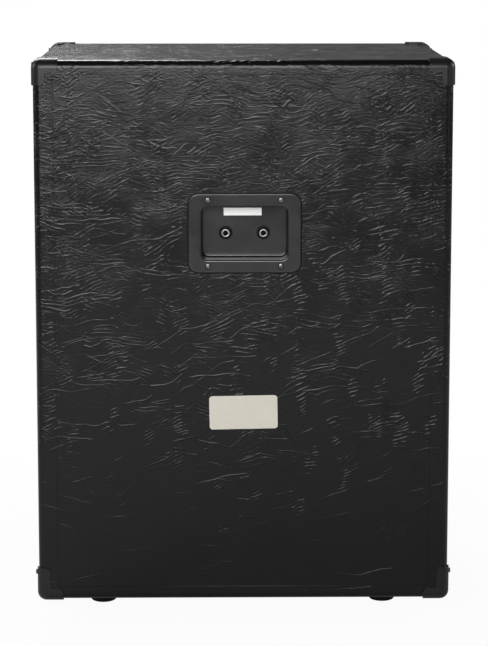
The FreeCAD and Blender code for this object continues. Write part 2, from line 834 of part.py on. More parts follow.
def build_jacks():
    """Make the two jack sockets, which face +Y from the dish floor."""
    behind = "(-dish_wall)"
    ferrule_rear = "(-ferrule_inset)"
    top = "bush_reach"
    rear = f"({behind} - jack_body_depth)"
    half = "jack_body_width / 2"
    case = eased_block((f"-{half}", rear, f"-{half}"), (half, behind, half), "2", along(Vector(0, 1, 0)))
    bush = rod(TO_BACK, "bush_radius", f"{top} - {behind} + 1", y=f"{behind} - 1")
    throat = rod(TO_BACK, "ferrule_radius", f"{top} - {ferrule_rear} + 1", y=ferrule_rear)
    cavity = rod(TO_BACK, "jack_cavity_radius", f"{ferrule_rear} - {rear} - 3", y=f"{rear} + 3")
    tag_low, tag_high = "(jack_cavity_radius - tag_thickness - 0.4)", "(jack_cavity_radius - 0.4)"
    tags = []
    for side in (-1, 1):
        near, far = (tag_low, tag_high) if side > 0 else (f"-{tag_high}", f"-{tag_low}")
        low = ("-tag_width / 2", f"{rear} - tag_length", near)
        high = ("tag_width / 2", f"{ferrule_rear} - 4", far)
        tags.append(box(low, high))
    body = cut(fuse([case, bush]), [throat, cavity] + tags)
    ring = f"({top} + ferrule_ring_height)"
    ferrule = turned(
        "XY_Plane",
        [
            ("jack_bore_radius", ferrule_rear),
            ("ferrule_radius", ferrule_rear),
            ("ferrule_radius", top),
            ("ferrule_ring_radius", top),
            ("ferrule_ring_radius", f"{ring} - 0.4 * ferrule_ring_height"),
            ("ferrule_ring_radius - 0.4 * ferrule_ring_height", ring),
            ("jack_bore_radius", ring),
        ],
    )
    flange = rod(TO_BACK, "nut_flange_radius", "nut_flange_height")
    hexagon = doc.addObject("Part::Prism", "hexagon")
    hexagon.Polygon = 6
    hexagon.Placement = Placement(Vector(), TO_BACK)
    bind(hexagon, "Circumradius", "nut_radius")
    bind(hexagon, "Height", "nut_height")
    nut = cut(fuse([flange, hexagon]), [rod(TO_BACK, "bush_radius", "nut_height + 2", y="-1")])
    spots = {
        name: (f"jack_plate_shift + {side} * jack_pitch / 2", DISH_FLOOR, f"{PLATE_Z} - jack_drop")
        for name, side in (("input", 1), ("through", -1))
    }
    keep("jack_bodies", group([placed(body, *spot) for spot in spots.values()]))
    keep("jack_nuts", group([placed(nut, *spot) for spot in spots.values()]))
    keep("jack_contacts", group([placed(group(tags), *spot) for spot in spots.values()]))
    for name, spot in spots.items():
        keep(f"{name}_jack_ferrule", placed(ferrule, *spot))


def build_label():
    """Make the blank foil label low on the back."""
    half = ("label_width / 2", "label_height / 2")
    foil = eased_block(
        (f"-{half[0]}", "0", f"-{half[1]}"),
        (half[0], "label_thickness", half[1]),
        "label_round",
        along(Vector(0, 1, 0)),
    )
    tilt = Rotation(Vector(0, 1, 0), number("label_tilt"))
    keep("rating_label", placed(foil, y=BACK, z=f"{TOP} - label_drop", turn=tilt))


def bent_rod(points, bend, radius):
    """Sweep a round rod along straight runs joined by equal bends."""
    edges, last = [], points[0]
    for before, corner, after in zip(points, points[1:], points[2:]):
        back = (before - corner).normalize()
        ahead = (after - corner).normalize()
        half_turn = (math.pi - back.getAngle(ahead)) / 2
        start, end = corner + back * bend * math.tan(half_turn), corner + ahead * bend * math.tan(half_turn)
        inward = (back + ahead).normalize()
        middle = corner + inward * bend * (1 / math.cos(half_turn) - 1)
        edges.append(Part.LineSegment(last, start).toShape())
        edges.append(Part.Arc(start, middle, end).toShape())
        last = end
    edges.append(Part.LineSegment(last, points[-1]).toShape())
    path = Part.Wire(edges)
    first = (points[1] - points[0]).normalize()
    section = Part.Wire(Part.makeCircle(radius, points[0], first))
    return path.makePipeShell([section], True, False)


def build_handles():
    """Make both recessed handles with their swinging bails."""
    form, room = recessed_plate(
        "handle", "handle_wall", "handle_draft", ("handle_plate_thickness", "handle_depth", "handle_round")
    )
    rod_radius = "bail_rod_radius"
    bottom = f"(-pivot_depth - {rod_radius} - lug_wall)"
    pivot_top = f"{rod_radius} + pivot_clearance + lug_wall"
    inner = "(bail_half_span + lug_gap)"
    outer = "(handle_mouth_width / 2 + 0.5 * handle_wall - handle_draft)"
    reach = "(bail_half_span + bail_stub)"
    lugs, holes = [], []
    for side in (-1, 1):
        near, far = (inner, outer) if side > 0 else (f"-{outer}", f"-{inner}")
        low = (near, bottom, f"pivot_rise - ({pivot_top})")
        lugs.append(box(low, (far, "0", f"pivot_rise + {pivot_top}")))
        start = f"-{reach} - 1" if side < 0 else f"{inner} - 1"
        hole_length = f"{reach} - {inner} + 2"
        holes.append(
            rod(TO_RIGHT, f"{rod_radius} + pivot_clearance", hole_length, start, "-pivot_depth", "pivot_rise")
        )
    spots = [
        (f"{across} * handle_screw_across / 2", "handle_plate_thickness", f"{up} * handle_screw_up / 2")
        for across in (-1, 1)
        for up in (-1, 1)
    ]
    screw_holes = [
        rod(TO_BACK, "small_shank_radius + shank_clearance", "6", spot[0], "-3", spot[2]) for spot in spots
    ]
    dish = cut(fuse([cut(form, [room]), *lugs]), holes + screw_holes)
    bail = doc.addObject("Part::Feature", "bail")
    span, end = number("bail_half_span"), number(reach)
    high, low, depth = number("pivot_rise"), number("pivot_rise - bail_drop"), -number("pivot_depth")
    route = [(-end, high), (-span, high), (-span, low), (span, low), (span, high), (end, high)]
    points = [Vector(x, depth, z) for x, z in route]
    bail.Shape = bent_rod(points, number("bail_bend"), number(rod_radius))
    grip_end = "grip_length / 2"
    grip = turned(
        "XZ_Plane",
        [
            (rod_radius, f"-{grip_end}"),
            ("grip_radius - grip_edge", f"-{grip_end}"),
            ("grip_radius", f"grip_edge - {grip_end}"),
            ("grip_radius", f"{grip_end} - grip_edge"),
            ("grip_radius - grip_edge", grip_end),
            (rod_radius, grip_end),
        ],
    )
    grip = placed(grip, y="-pivot_depth", z="pivot_rise - bail_drop", turn=TO_RIGHT)
    sizes = ("small_head_radius", "small_head_height", "small_shank_radius", "small_screw_length")
    pattern = screw(*sizes)
    screws = group([placed(pattern, *spot, TO_BACK) for spot in spots])
    spot = (SIDE, HANDLE_Y, HANDLE_Z)
    for name, piece in (("dish", dish), ("bail", bail), ("grip", grip)):
        right = keep(f"right_handle_{name}", placed(piece, *spot, SIDEWAYS))
        keep(f"left_handle_{name}", mirrored(right, Vector(1, 0, 0)))
    right_screws = placed(screws, *spot, SIDEWAYS)
    keep("handle_screws", group([right_screws, mirrored(right_screws, Vector(1, 0, 0))]))


def bolt_spots(z):
    """Return the four places of a driver's bolts on the baffle's front."""
    reach = f"{BOLT_CIRCLE} / sqrt(2)"
    return [
        (f"{across} * {reach}", BAFFLE_FRONT, f"{z} + {up} * {reach}") for across in (-1, 1) for up in (-1, 1)
    ]


def build_baffle():
    """Make the baffle board, the battens that it is screwed to, and the screws."""
    heights = (f"{INNER_LOW} + baffle_screw_end", MIDDLE, f"{INNER_TOP} - baffle_screw_end")
    spots = [
        (f"{side} * ({INNER_SIDE} - baffle_screw_edge)", BAFFLE_FRONT, height)
        for side in (-1, 1)
        for height in heights
    ]
    spots += [
        (f"{side} * baffle_screw_spread", BAFFLE_FRONT, f"{end} {inward} baffle_screw_edge")
        for side in (-1, 1)
        for end, inward in ((INNER_LOW, "+"), (INNER_TOP, "-"))
    ]
    sizes = ("baffle_head_radius", "baffle_head_height", "baffle_shank_radius", "baffle_screw_length")
    sunk = sink(*sizes)
    screw_holes = group([placed(sunk, *spot, TO_FRONT) for spot in spots])
    board = box((f"-{INNER_SIDE}", BAFFLE_FRONT, INNER_LOW), (INNER_SIDE, BAFFLE_REAR, INNER_TOP))
    holes = [screw_holes]
    for z in (LOWER_Z, UPPER_Z):
        holes.append(rod(TO_BACK, CUTOUT_RADIUS, "baffle_thickness + 2", "0", f"{BAFFLE_FRONT} - 1", z))
        for x, y, up in bolt_spots(z):
            bolt = ("bolt_radius + bolt_clearance", "baffle_thickness + 2")
            holes.append(rod(TO_BACK, *bolt, x, f"{y} - 1", up))
            barrel = ("tee_barrel_radius + shank_clearance", "tee_barrel_length + 1")
            holes.append(rod(TO_BACK, *barrel, x, f"{BAFFLE_REAR} - tee_barrel_length", up))
    keep("baffle_board", cut(board, holes))
    rear = f"{BAFFLE_REAR} + cleat_width"
    inside = f"({INNER_SIDE} - cleat_width)"
    half = f"({inside} - shank_clearance)"
    battens = [
        box((inside, BAFFLE_REAR, INNER_LOW), (INNER_SIDE, rear, INNER_TOP)),
        box((f"-{INNER_SIDE}", BAFFLE_REAR, INNER_LOW), (f"-{inside}", rear, INNER_TOP)),
        box((f"-{half}", BAFFLE_REAR, INNER_LOW), (half, rear, f"{INNER_LOW} + cleat_width")),
        box((f"-{half}", BAFFLE_REAR, f"{INNER_TOP} - cleat_width"), (half, rear, INNER_TOP)),
    ]
    keep("baffle_cleats", group([cut(batten, [screw_holes]) for batten in battens]))
    pattern = screw(*sizes, sunk=True)
    keep("baffle_screws", group([placed(pattern, *spot, TO_FRONT) for spot in spots]))


def zigzag(start, end, base, height, rolls):
    """Return the corners of a corrugation between two radii."""
    count = 2 * rolls
    return [
        (f"{start} + ({end} - {start}) * {n} / {count}", f"{base} - {height} * {n % 2}")
        for n in range(count + 1)
    ]


def corrugated(corners, thickness):
    """Turn a corrugated sheet of even thickness, given its front corners."""
    rear = [(radius, f"{depth} + {thickness}") for radius, depth in reversed(corners)]
    return turned("XY_Plane", corners + rear)


def cone_points(lift):
    """Return the corners of the cone's flared face, moved along its axis."""
    neck, rim = "former_radius", CONE_RADIUS
    face = "(-flange_thickness)"
    drop = f"({CONE_DEPTH} - cone_thickness - {face})"
    corners = []
    for n in range(9):
        bow = 4 * n * (8 - n) / 64
        radius = f"{neck} + ({rim} - {neck}) * {n} / 8"
        corners.append((radius, f"{face} + {drop} * {8 - n} / 8 + cone_sag * {bow} + {lift}"))
    return corners


def driver_motor():
    """Make the driver's fixed metal: basket, top plate, magnet and yoke, and its terminals."""
    wall = "basket_wall"
    form = turned(
        "XY_Plane",
        [
            (FLANGE_RADIUS, "-flange_thickness"),
            (FLANGE_RADIUS, "0"),
            (RIM_RADIUS, "0"),
            (SHOULDER_RADIUS, "basket_shoulder_depth"),
            ("basket_shelf_radius", SHELF_DEPTH),
            ("basket_neck_radius", SHELF_DEPTH),
            ("basket_neck_radius", "basket_depth"),
            ("basket_hole_radius", "basket_depth"),
            ("basket_hole_radius", f"basket_depth - {wall}"),
            (f"basket_neck_radius - {wall}", f"basket_depth - {wall}"),
            (f"basket_neck_radius - {wall}", f"{SHELF_DEPTH} - {wall}"),
            (f"basket_shelf_radius - {wall} / 2", f"{SHELF_DEPTH} - {wall}"),
            (f"{SHOULDER_RADIUS} - {wall}", f"basket_shoulder_depth - {wall} / 2"),
            (f"{RIM_RADIUS} - {wall}", "-flange_thickness"),
        ],
    )
    window = padded(
        "XZ_Plane",
        [
            ("-window_inner_width / 2", "basket_shelf_radius + window_inner_margin"),
            ("window_inner_width / 2", "basket_shelf_radius + window_inner_margin"),
            ("window_outer_width / 2", f"{SHOULDER_RADIUS} - window_outer_margin"),
            ("-window_outer_width / 2", f"{SHOULDER_RADIUS} - window_outer_margin"),
        ],
        "basket_depth",
    )
    window = placed(window, y="basket_depth")
    axis = Vector(0, 1, 0)
    windows = [placed(window, turn=Rotation(axis, 360 / WINDOWS * (n + 0.5))) for n in range(WINDOWS)]
    holes = [
        rod(TO_BACK, "bolt_radius + bolt_clearance", "flange_thickness + 2", x, "-flange_thickness - 1", z)
        for x, _, z in bolt_spots("0")
    ]
    basket = cut(form, windows + holes)
    gap_radius = "former_radius + winding_thickness + coil_gap"
    plate_rear = "basket_depth + top_plate_thickness"
    magnet_rear = f"{plate_rear} + magnet_thickness"
    top_plate = turned(
        "XY_Plane",
        [
            (gap_radius, "basket_depth"),
            ("top_plate_radius", "basket_depth"),
            ("top_plate_radius", plate_rear),
            (gap_radius, plate_rear),
        ],
    )
    magnet = turned(
        "XY_Plane",
        [
            ("magnet_hole_radius", plate_rear),
            ("magnet_radius - 2", plate_rear),
            ("magnet_radius", f"{plate_rear} + 2"),
            ("magnet_radius", f"{magnet_rear} - 2"),
            ("magnet_radius - 2", magnet_rear),
            ("magnet_hole_radius", magnet_rear),
        ],
    )
    pole = "former_radius - former_wall - coil_gap"
    yoke = turned(
        "XY_Plane",
        [
            ("vent_radius", "basket_depth"),
            (pole, "basket_depth"),
            (pole, magnet_rear),
            ("yoke_radius", magnet_rear),
            ("yoke_radius", f"{magnet_rear} + yoke_thickness"),
            ("vent_radius", f"{magnet_rear} + yoke_thickness"),
        ],
    )
    inner = "(basket_neck_radius + 2)"
    board_rear = f"{SHELF_DEPTH} + terminal_thickness"
    board = box(
        ("-terminal_width / 2", SHELF_DEPTH, f"-{inner} - terminal_height"),
        ("terminal_width / 2", board_rear, f"-{inner}"),
    )
    middle = f"(-{inner} - terminal_height / 2)"
    tags = []
    for side in (-1, 1):
        centre = f"{side} * terminal_tag_pitch / 2"
        low = (f"{centre} - terminal_tag_width / 2", board_rear, f"{middle} - tag_thickness / 2")
        high = (f"{centre} + terminal_tag_width / 2", f"{board_rear} + terminal_tag_length")
        tags.append(box(low, (*high, f"{middle} + tag_thickness / 2")))
    return {
        "basket": basket,
        "top_plate": top_plate,
        "magnet": magnet,
        "yoke": yoke,
        "terminals": fuse([board] + tags),
    }


def driver_cone():
    """Make the driver's moving and flexing pieces."""
    face = "(-flange_thickness)"
    cone = turned("XY_Plane", cone_points("0") + list(reversed(cone_points("cone_thickness"))))
    thickness = "surround_thickness"
    base = f"{face} - {thickness}"
    rolls = zigzag(CONE_RADIUS, f"({RIM_RADIUS} - basket_wall)", base, "surround_roll", SURROUND_ROLLS)
    surround = corrugated(rolls + [(f"{GASKET_INNER} - surround_clearance", base)], thickness)
    ring = turned(
        "XY_Plane",
        [
            (GASKET_INNER, face),
            (GASKET_OUTER, face),
            (GASKET_OUTER, f"{face} - gasket_height + 1"),
            (f"{GASKET_OUTER} - 1", f"{face} - gasket_height"),
            (GASKET_INNER, f"{face} - gasket_height"),
        ],
    )
    notches = [
        rod(TO_BACK, "gasket_notch_radius", "gasket_height + 2", x, f"{face} - gasket_height - 1", z)
        for x, _, z in bolt_spots("0")
    ]
    gasket = cut(ring, notches)
    inside = "former_radius - former_wall"
    front = f"({CONE_DEPTH} - cone_thickness - former_lead)"
    centre = "basket_depth + top_plate_thickness / 2"
    wound = "former_radius + winding_thickness"
    winding = (f"{centre} - winding_length / 2", f"{centre} + winding_length / 2")
    coil = turned(
        "XY_Plane",
        [
            (inside, front),
            ("former_radius", front),
            ("former_radius", winding[0]),
            (wound, winding[0]),
            (wound, winding[1]),
            (inside, winding[1]),
        ],
    )
    land = f"({SHELF_DEPTH} - basket_wall - spider_thickness)"
    neck = "(basket_neck_radius - basket_wall)"
    waves = zigzag("former_radius", neck, land, "spider_roll", SPIDER_ROLLS)
    spider = corrugated(waves + [("basket_shelf_radius - spider_land", land)], "spider_thickness")
    seat_radius, seat_depth = cone_points("0")[1]
    radius = f"((({seat_radius}) ^ 2 + dust_cap_height ^ 2) / (2 * dust_cap_height))"
    apex = f"({seat_depth} - dust_cap_height - dust_cap_thickness - dust_cap_lift)"
    balls = []
    for size in (radius, f"{radius} - dust_cap_thickness"):
        ball = doc.addObject("Part::Sphere", "ball")
        bind(ball, "Radius", size)
        balls.append(move(ball, y=f"{apex} + {radius}"))
    trim = rod(TO_BACK, seat_radius, "dust_cap_height + dust_cap_thickness + 2", y=f"{apex} - 1")
    cap = common(cut(balls[0], [balls[1]]), trim)
    return {
        "cone": cone,
        "surround": surround,
        "gasket": gasket,
        "voice_coil": coil,
        "spider": spider,
        "dust_cap": cap,
    }


def build_drivers():
    """Place both drivers on the baffle and bolt them down."""
    pieces = {**driver_motor(), **driver_cone()}
    shared = {"gasket": "gaskets", "top_plate": "top_plates", "yoke": "yokes", "terminals": "terminals"}
    centres = {"upper": UPPER_Z, "lower": LOWER_Z}
    for kind, piece in pieces.items():
        copies = {name: placed(piece, y=BAFFLE_FRONT, z=z) for name, z in centres.items()}
        if kind in shared:
            keep(f"speaker_{shared[kind]}", group(list(copies.values())))
            continue
        for name, copy in copies.items():
            keep(f"{name}_speaker_{kind}", copy)
    pattern = screw("bolt_head_radius", "bolt_head_height", "bolt_radius", "bolt_length")
    tee_rear = "tee_flange_thickness"
    bore = "bolt_radius + shank_clearance"
    tee = turned(
        "XY_Plane",
        [
            (bore, "-tee_barrel_length"),
            ("tee_barrel_radius", "-tee_barrel_length"),
            ("tee_barrel_radius", "0"),
            ("tee_flange_radius", "0"),
            ("tee_flange_radius", tee_rear),
            (bore, tee_rear),
        ],
    )
    bolts, tees = [], []
    for z in centres.values():
        for x, y, up in bolt_spots(z):
            bolts.append(placed(pattern, x, f"{y} - flange_thickness", up, TO_FRONT))
            tees.append(placed(tee, x, BAFFLE_REAR, up))
    keep("speaker_bolts", group(bolts))
    keep("speaker_tee_nuts", group(tees))


def ring_bead(half, low, high, depth, corner, radius):
    """Sweep a round bead round a rectangle with rounded corners."""
    spots = [(half, low), (half, high), (-half, high), (-half, low)]
    corners = [Vector(x, depth, z) for x, z in spots]
    outline_edges = []
    count = len(corners)
    trims = []
    for n in range(count):
        back = (corners[n - 1] - corners[n]).normalize()
        ahead = (corners[(n + 1) % count] - corners[n]).normalize()
        inward = (back + ahead).normalize()
        middle = corners[n] + inward * corner * (math.sqrt(2) - 1)
        trims.append((corners[n] + back * corner, middle, corners[n] + ahead * corner))
    for n in range(count):
        outline_edges.append(Part.Arc(*trims[n]).toShape())
        outline_edges.append(Part.LineSegment(trims[n][2], trims[(n + 1) % count][0]).toShape())
    path = Part.Wire(outline_edges)
    start = outline_edges[0].Vertexes[0].Point
    section = Part.Wire(Part.makeCircle(radius, start, Vector(1, 0, 0)))
    return path.makePipeShell([section], True, False)


def build_grille():
    """Make the pull-off grille and the hook and loop pads that hold it."""
    pads_at = [
        (side, f"{MIDDLE} + {step} * pad_pitch") for side in (-1, 1) for step in (-1, 0, 1)
    ]
    bead_side = f"({LIP_SIDE} - grille_clearance - piping_radius)"
    bead_low = f"({LIP_LOW} + grille_clearance + piping_radius)"
    bead_top = f"({LIP_TOP} - grille_clearance - piping_radius)"
    cloth_side, cloth_low = f"({bead_side} - piping_radius)", f"({bead_low} + piping_radius)"
    cloth_top = f"({bead_top} - piping_radius)"
    frame_side, frame_low = f"({cloth_side} - cloth_thickness)", f"({cloth_low} + cloth_thickness)"
    frame_top = f"({cloth_top} - cloth_thickness)"
    rear = f"({BAFFLE_FRONT} - 2 * pad_thickness)"
    front = f"({rear} - stile_depth)"
    rail_rear = f"({front} + rail_depth)"
    upright = along(Vector(0, 1, 0))
    inner_round = "grille_round - cloth_thickness"
    frame_corners = ((f"-{frame_side}", front, frame_low), (frame_side, rear, frame_top))
    frame = eased_block(*frame_corners, inner_round, upright)
    stiles = []
    stile_inner = f"({frame_side} - stile_width)"
    rail_zone = [
        box((f"-{SIDE}", f"{front} - 1", frame_low), (SIDE, rail_rear, f"{frame_low} + rail_width")),
        box((f"-{SIDE}", f"{front} - 1", f"{frame_top} - rail_width"), (SIDE, rail_rear, frame_top)),
    ]
    for side in (-1, 1):
        near, far = (stile_inner, frame_side) if side > 0 else (f"-{frame_side}", f"-{stile_inner}")
        post = box((near, front, frame_low), (far, rear, frame_top))
        stiles.append(cut(common(post, frame), rail_zone))
    rails = [common(frame, zone) for zone in rail_zone]
    keep("grille_stiles", group(stiles))
    keep("grille_rails", group(rails))
    cloth_front = f"({front} - cloth_thickness)"
    outer = ((f"-{cloth_side}", cloth_front, cloth_low), (cloth_side, rail_rear, cloth_top))
    inner = ((f"-{frame_side}", front, frame_low), (frame_side, f"{rail_rear} + 1", frame_top))
    outside = eased_block(*outer, "grille_round", upright)
    inside = eased_block(*inner, inner_round, upright)
    keep("grille_cloth", cut(outside, [inside]))
    bead = doc.addObject("Part::Feature", "piping")
    depth = number(f"{cloth_front} + piping_radius")
    corner = number("grille_round + piping_radius")
    bead.Shape = ring_bead(
        number(bead_side), number(bead_low), number(bead_top), depth, corner, number("piping_radius")
    )
    keep("grille_piping", bead)
    for name, start, end in (
        ("hook_pads", f"{BAFFLE_FRONT} - pad_thickness", BAFFLE_FRONT),
        ("loop_pads", rear, f"{BAFFLE_FRONT} - pad_thickness"),
    ):
        middle = f"({frame_side} - stile_width / 2)"
        pads = [
            box(
                (f"{side} * {middle} - pad_width / 2", start, f"{z} - pad_length / 2"),
                (f"{side} * {middle} + pad_width / 2", end, f"{z} + pad_length / 2"),
            )
            for side, z in pads_at
        ]
        keep(name, group(pads))


def check_and_write():
    """Stop on any piece that failed; write each finished piece to its own file."""
    doc.recompute()
    for thing in doc.Objects:
        if any(state in ("Invalid", "Error") for state in thing.State):
            raise RuntimeError(f"{thing.Label} failed: {thing.State}")
    os.makedirs("parts", exist_ok=True)
    for name, thing in nodes.items():
        shape = thing.Shape
        if shape.isNull() or not shape.isValid() or not shape.Solids:
            raise RuntimeError(f"{name} has no valid solid")
        shape.exportStep(f"parts/{name}.step")
        print(f"{name}: {len(shape.Solids)} solids, {shape.Volume:.0f} mm3")
    print(f"{len(nodes)} pieces")


fill_sheet()
shared_tools = cabinet_shapes()
build_panels(shared_tools)
build_back(shared_tools)
build_corners()
build_feet()
build_jack_plate()
build_jacks()
build_label()
build_handles()
build_baffle()
build_drivers()
build_grille()
check_and_write()
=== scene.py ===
"""Looks of the guitar speaker cabinet: covering, cloth, finishes, studio and camera round the frame."""

import json
import logging
import math
from collections.abc import Iterable
from dataclasses import dataclass
from enum import Enum

import bmesh
import bpy
from mathutils import Matrix, Vector


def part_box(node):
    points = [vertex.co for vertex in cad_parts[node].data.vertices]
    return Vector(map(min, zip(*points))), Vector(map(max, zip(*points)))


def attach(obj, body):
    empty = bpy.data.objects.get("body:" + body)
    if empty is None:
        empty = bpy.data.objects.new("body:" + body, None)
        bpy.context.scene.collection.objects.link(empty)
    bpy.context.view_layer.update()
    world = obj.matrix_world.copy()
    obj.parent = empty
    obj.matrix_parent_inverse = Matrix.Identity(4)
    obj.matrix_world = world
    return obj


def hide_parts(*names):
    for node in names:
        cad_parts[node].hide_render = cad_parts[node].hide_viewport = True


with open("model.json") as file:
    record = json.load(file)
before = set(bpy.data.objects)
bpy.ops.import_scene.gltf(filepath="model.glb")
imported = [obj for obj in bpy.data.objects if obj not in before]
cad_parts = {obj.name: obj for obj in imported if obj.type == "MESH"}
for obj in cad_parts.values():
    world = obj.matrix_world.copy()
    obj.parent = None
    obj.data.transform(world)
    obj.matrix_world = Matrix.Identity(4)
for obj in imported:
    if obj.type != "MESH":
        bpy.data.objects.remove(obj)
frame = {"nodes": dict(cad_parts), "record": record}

LOG = logging.getLogger("cabinet")
MM = 0.001
# Distance within which vertices are merged, and within which an edge counts as lying in a place.
TOUCH = MM / 100
NEAR = MM / 10
# Least cosine between a face's normal and the way that it counts as looking.
LOOKING = 0.99
COVER_UV = "cover"
# Sockets of a Map Range node: from low, from high, to low, to high.
RANGE = (1, 2, 3, 4)
# The values that most of a noise pattern lies between.
MOST = (0.3, 0.7)

Tree = bpy.types.NodeTree
Socket = bpy.types.NodeSocket
Mesh = bmesh.types.BMesh
Face = bmesh.types.BMFace
Edge = bmesh.types.BMEdge
Vert = bmesh.types.BMVert
Pair = tuple[float, float]
Triple = tuple[float, float, float]
Quad = tuple[float, float, float, float]
Setting = Socket | float | tuple[float, ...]


class Axis(Enum):
    """The way that a grain, a brush stroke or a groove runs."""

    X = 0
    Y = 1
    Z = 2

    def stretch(self, along: float, across: float) -> Triple:
        """Gives a mapping scale with its long features on this axis.

        Args:
            along: Length of a feature on the axis, in metres.
            across: Width of a feature on the other axes, in metres.

        Returns:
            The three scales of a Mapping node.
        """
        scale = [1.0 / across] * 3
        scale[self.value] = 1.0 / along
        return tuple(scale)


class Pile(Enum):
    """The two halves of a hook and loop pad."""

    HOOK = "hook"
    LOOP = "loop"


def linear(code: str) -> Quad:
    """Turns an sRGB hex colour to linear light.

    Args:
        code: Colour such as "#1a1a1b".

    Returns:
        Linear red, green, blue and an alpha of one.
    """
    parts = [int(code[i:i + 2], 16) / 255 for i in (1, 3, 5)]
    light = [c / 12.92 if c <= 0.04045 else ((c + 0.055) / 1.055) ** 2.4 for c in parts]
    return (*light, 1.0)


def node(tree: Tree, kind: str, inputs: dict[str | int | tuple[int, ...], Setting] | None = None,
         **settings: object) -> bpy.types.Node:
    """Adds one shader node with its settings and links.

    Args:
        tree: Node tree that gets the node.
        kind: Node type without its "ShaderNode" prefix.
        inputs: Sockets by name or number, each with a socket to link or a value to set. Several numbers take
            as many values.
        **settings: Attributes of the node itself.

    Returns:
        The new node.
    """
    made = tree.nodes.new("ShaderNode" + kind)
    for name, value in settings.items():
        setattr(made, name, value)
    for key, value in (inputs or {}).items():
        for spot, part in zip(key, value) if isinstance(key, tuple) else ((key, value),):
            if isinstance(part, Socket):
                tree.links.new(part, made.inputs[spot])
            else:
                made.inputs[spot].default_value = part
    return made


@dataclass(frozen=True)
class Finish:
    """A surface finish, which grows the nodes of one material."""

    name: str

    def grow(self, tree: Tree, shader: bpy.types.Node) -> None:
        """Links the finish's nodes to the shader, in each kind of finish."""
        raise NotImplementedError

    def wear(self, tree: Tree, shader: bpy.types.Node, colour: Socket, rough: Socket, relief: Socket) -> None:
        """Links a colour, a roughness and a relief to the shader."""
        for name, socket in (("Base Color", colour), ("Roughness", rough), ("Normal", relief)):
            tree.links.new(socket, shader.inputs[name])

    def material(self) -> bpy.types.Material:
        """Makes the material once and gives the same one after that.

        Returns:
            The finished material.
        """
        found = bpy.data.materials.get(self.name)
        if found:
            return found
        made = bpy.data.materials.new(self.name)
        made.use_nodes = True
        self.grow(made.node_tree, made.node_tree.nodes["Principled BSDF"])
        return made


@dataclass(frozen=True)
class CreaseFamily:
    """One set of embossed creases that run much the same way, in millimetres, degrees and shares."""

    pitch: float
    width: float
    along: float
    tilt: float
    sway: float
    weight: float
    gaps: float
    patch: Pair
    cover: float
    seed: float


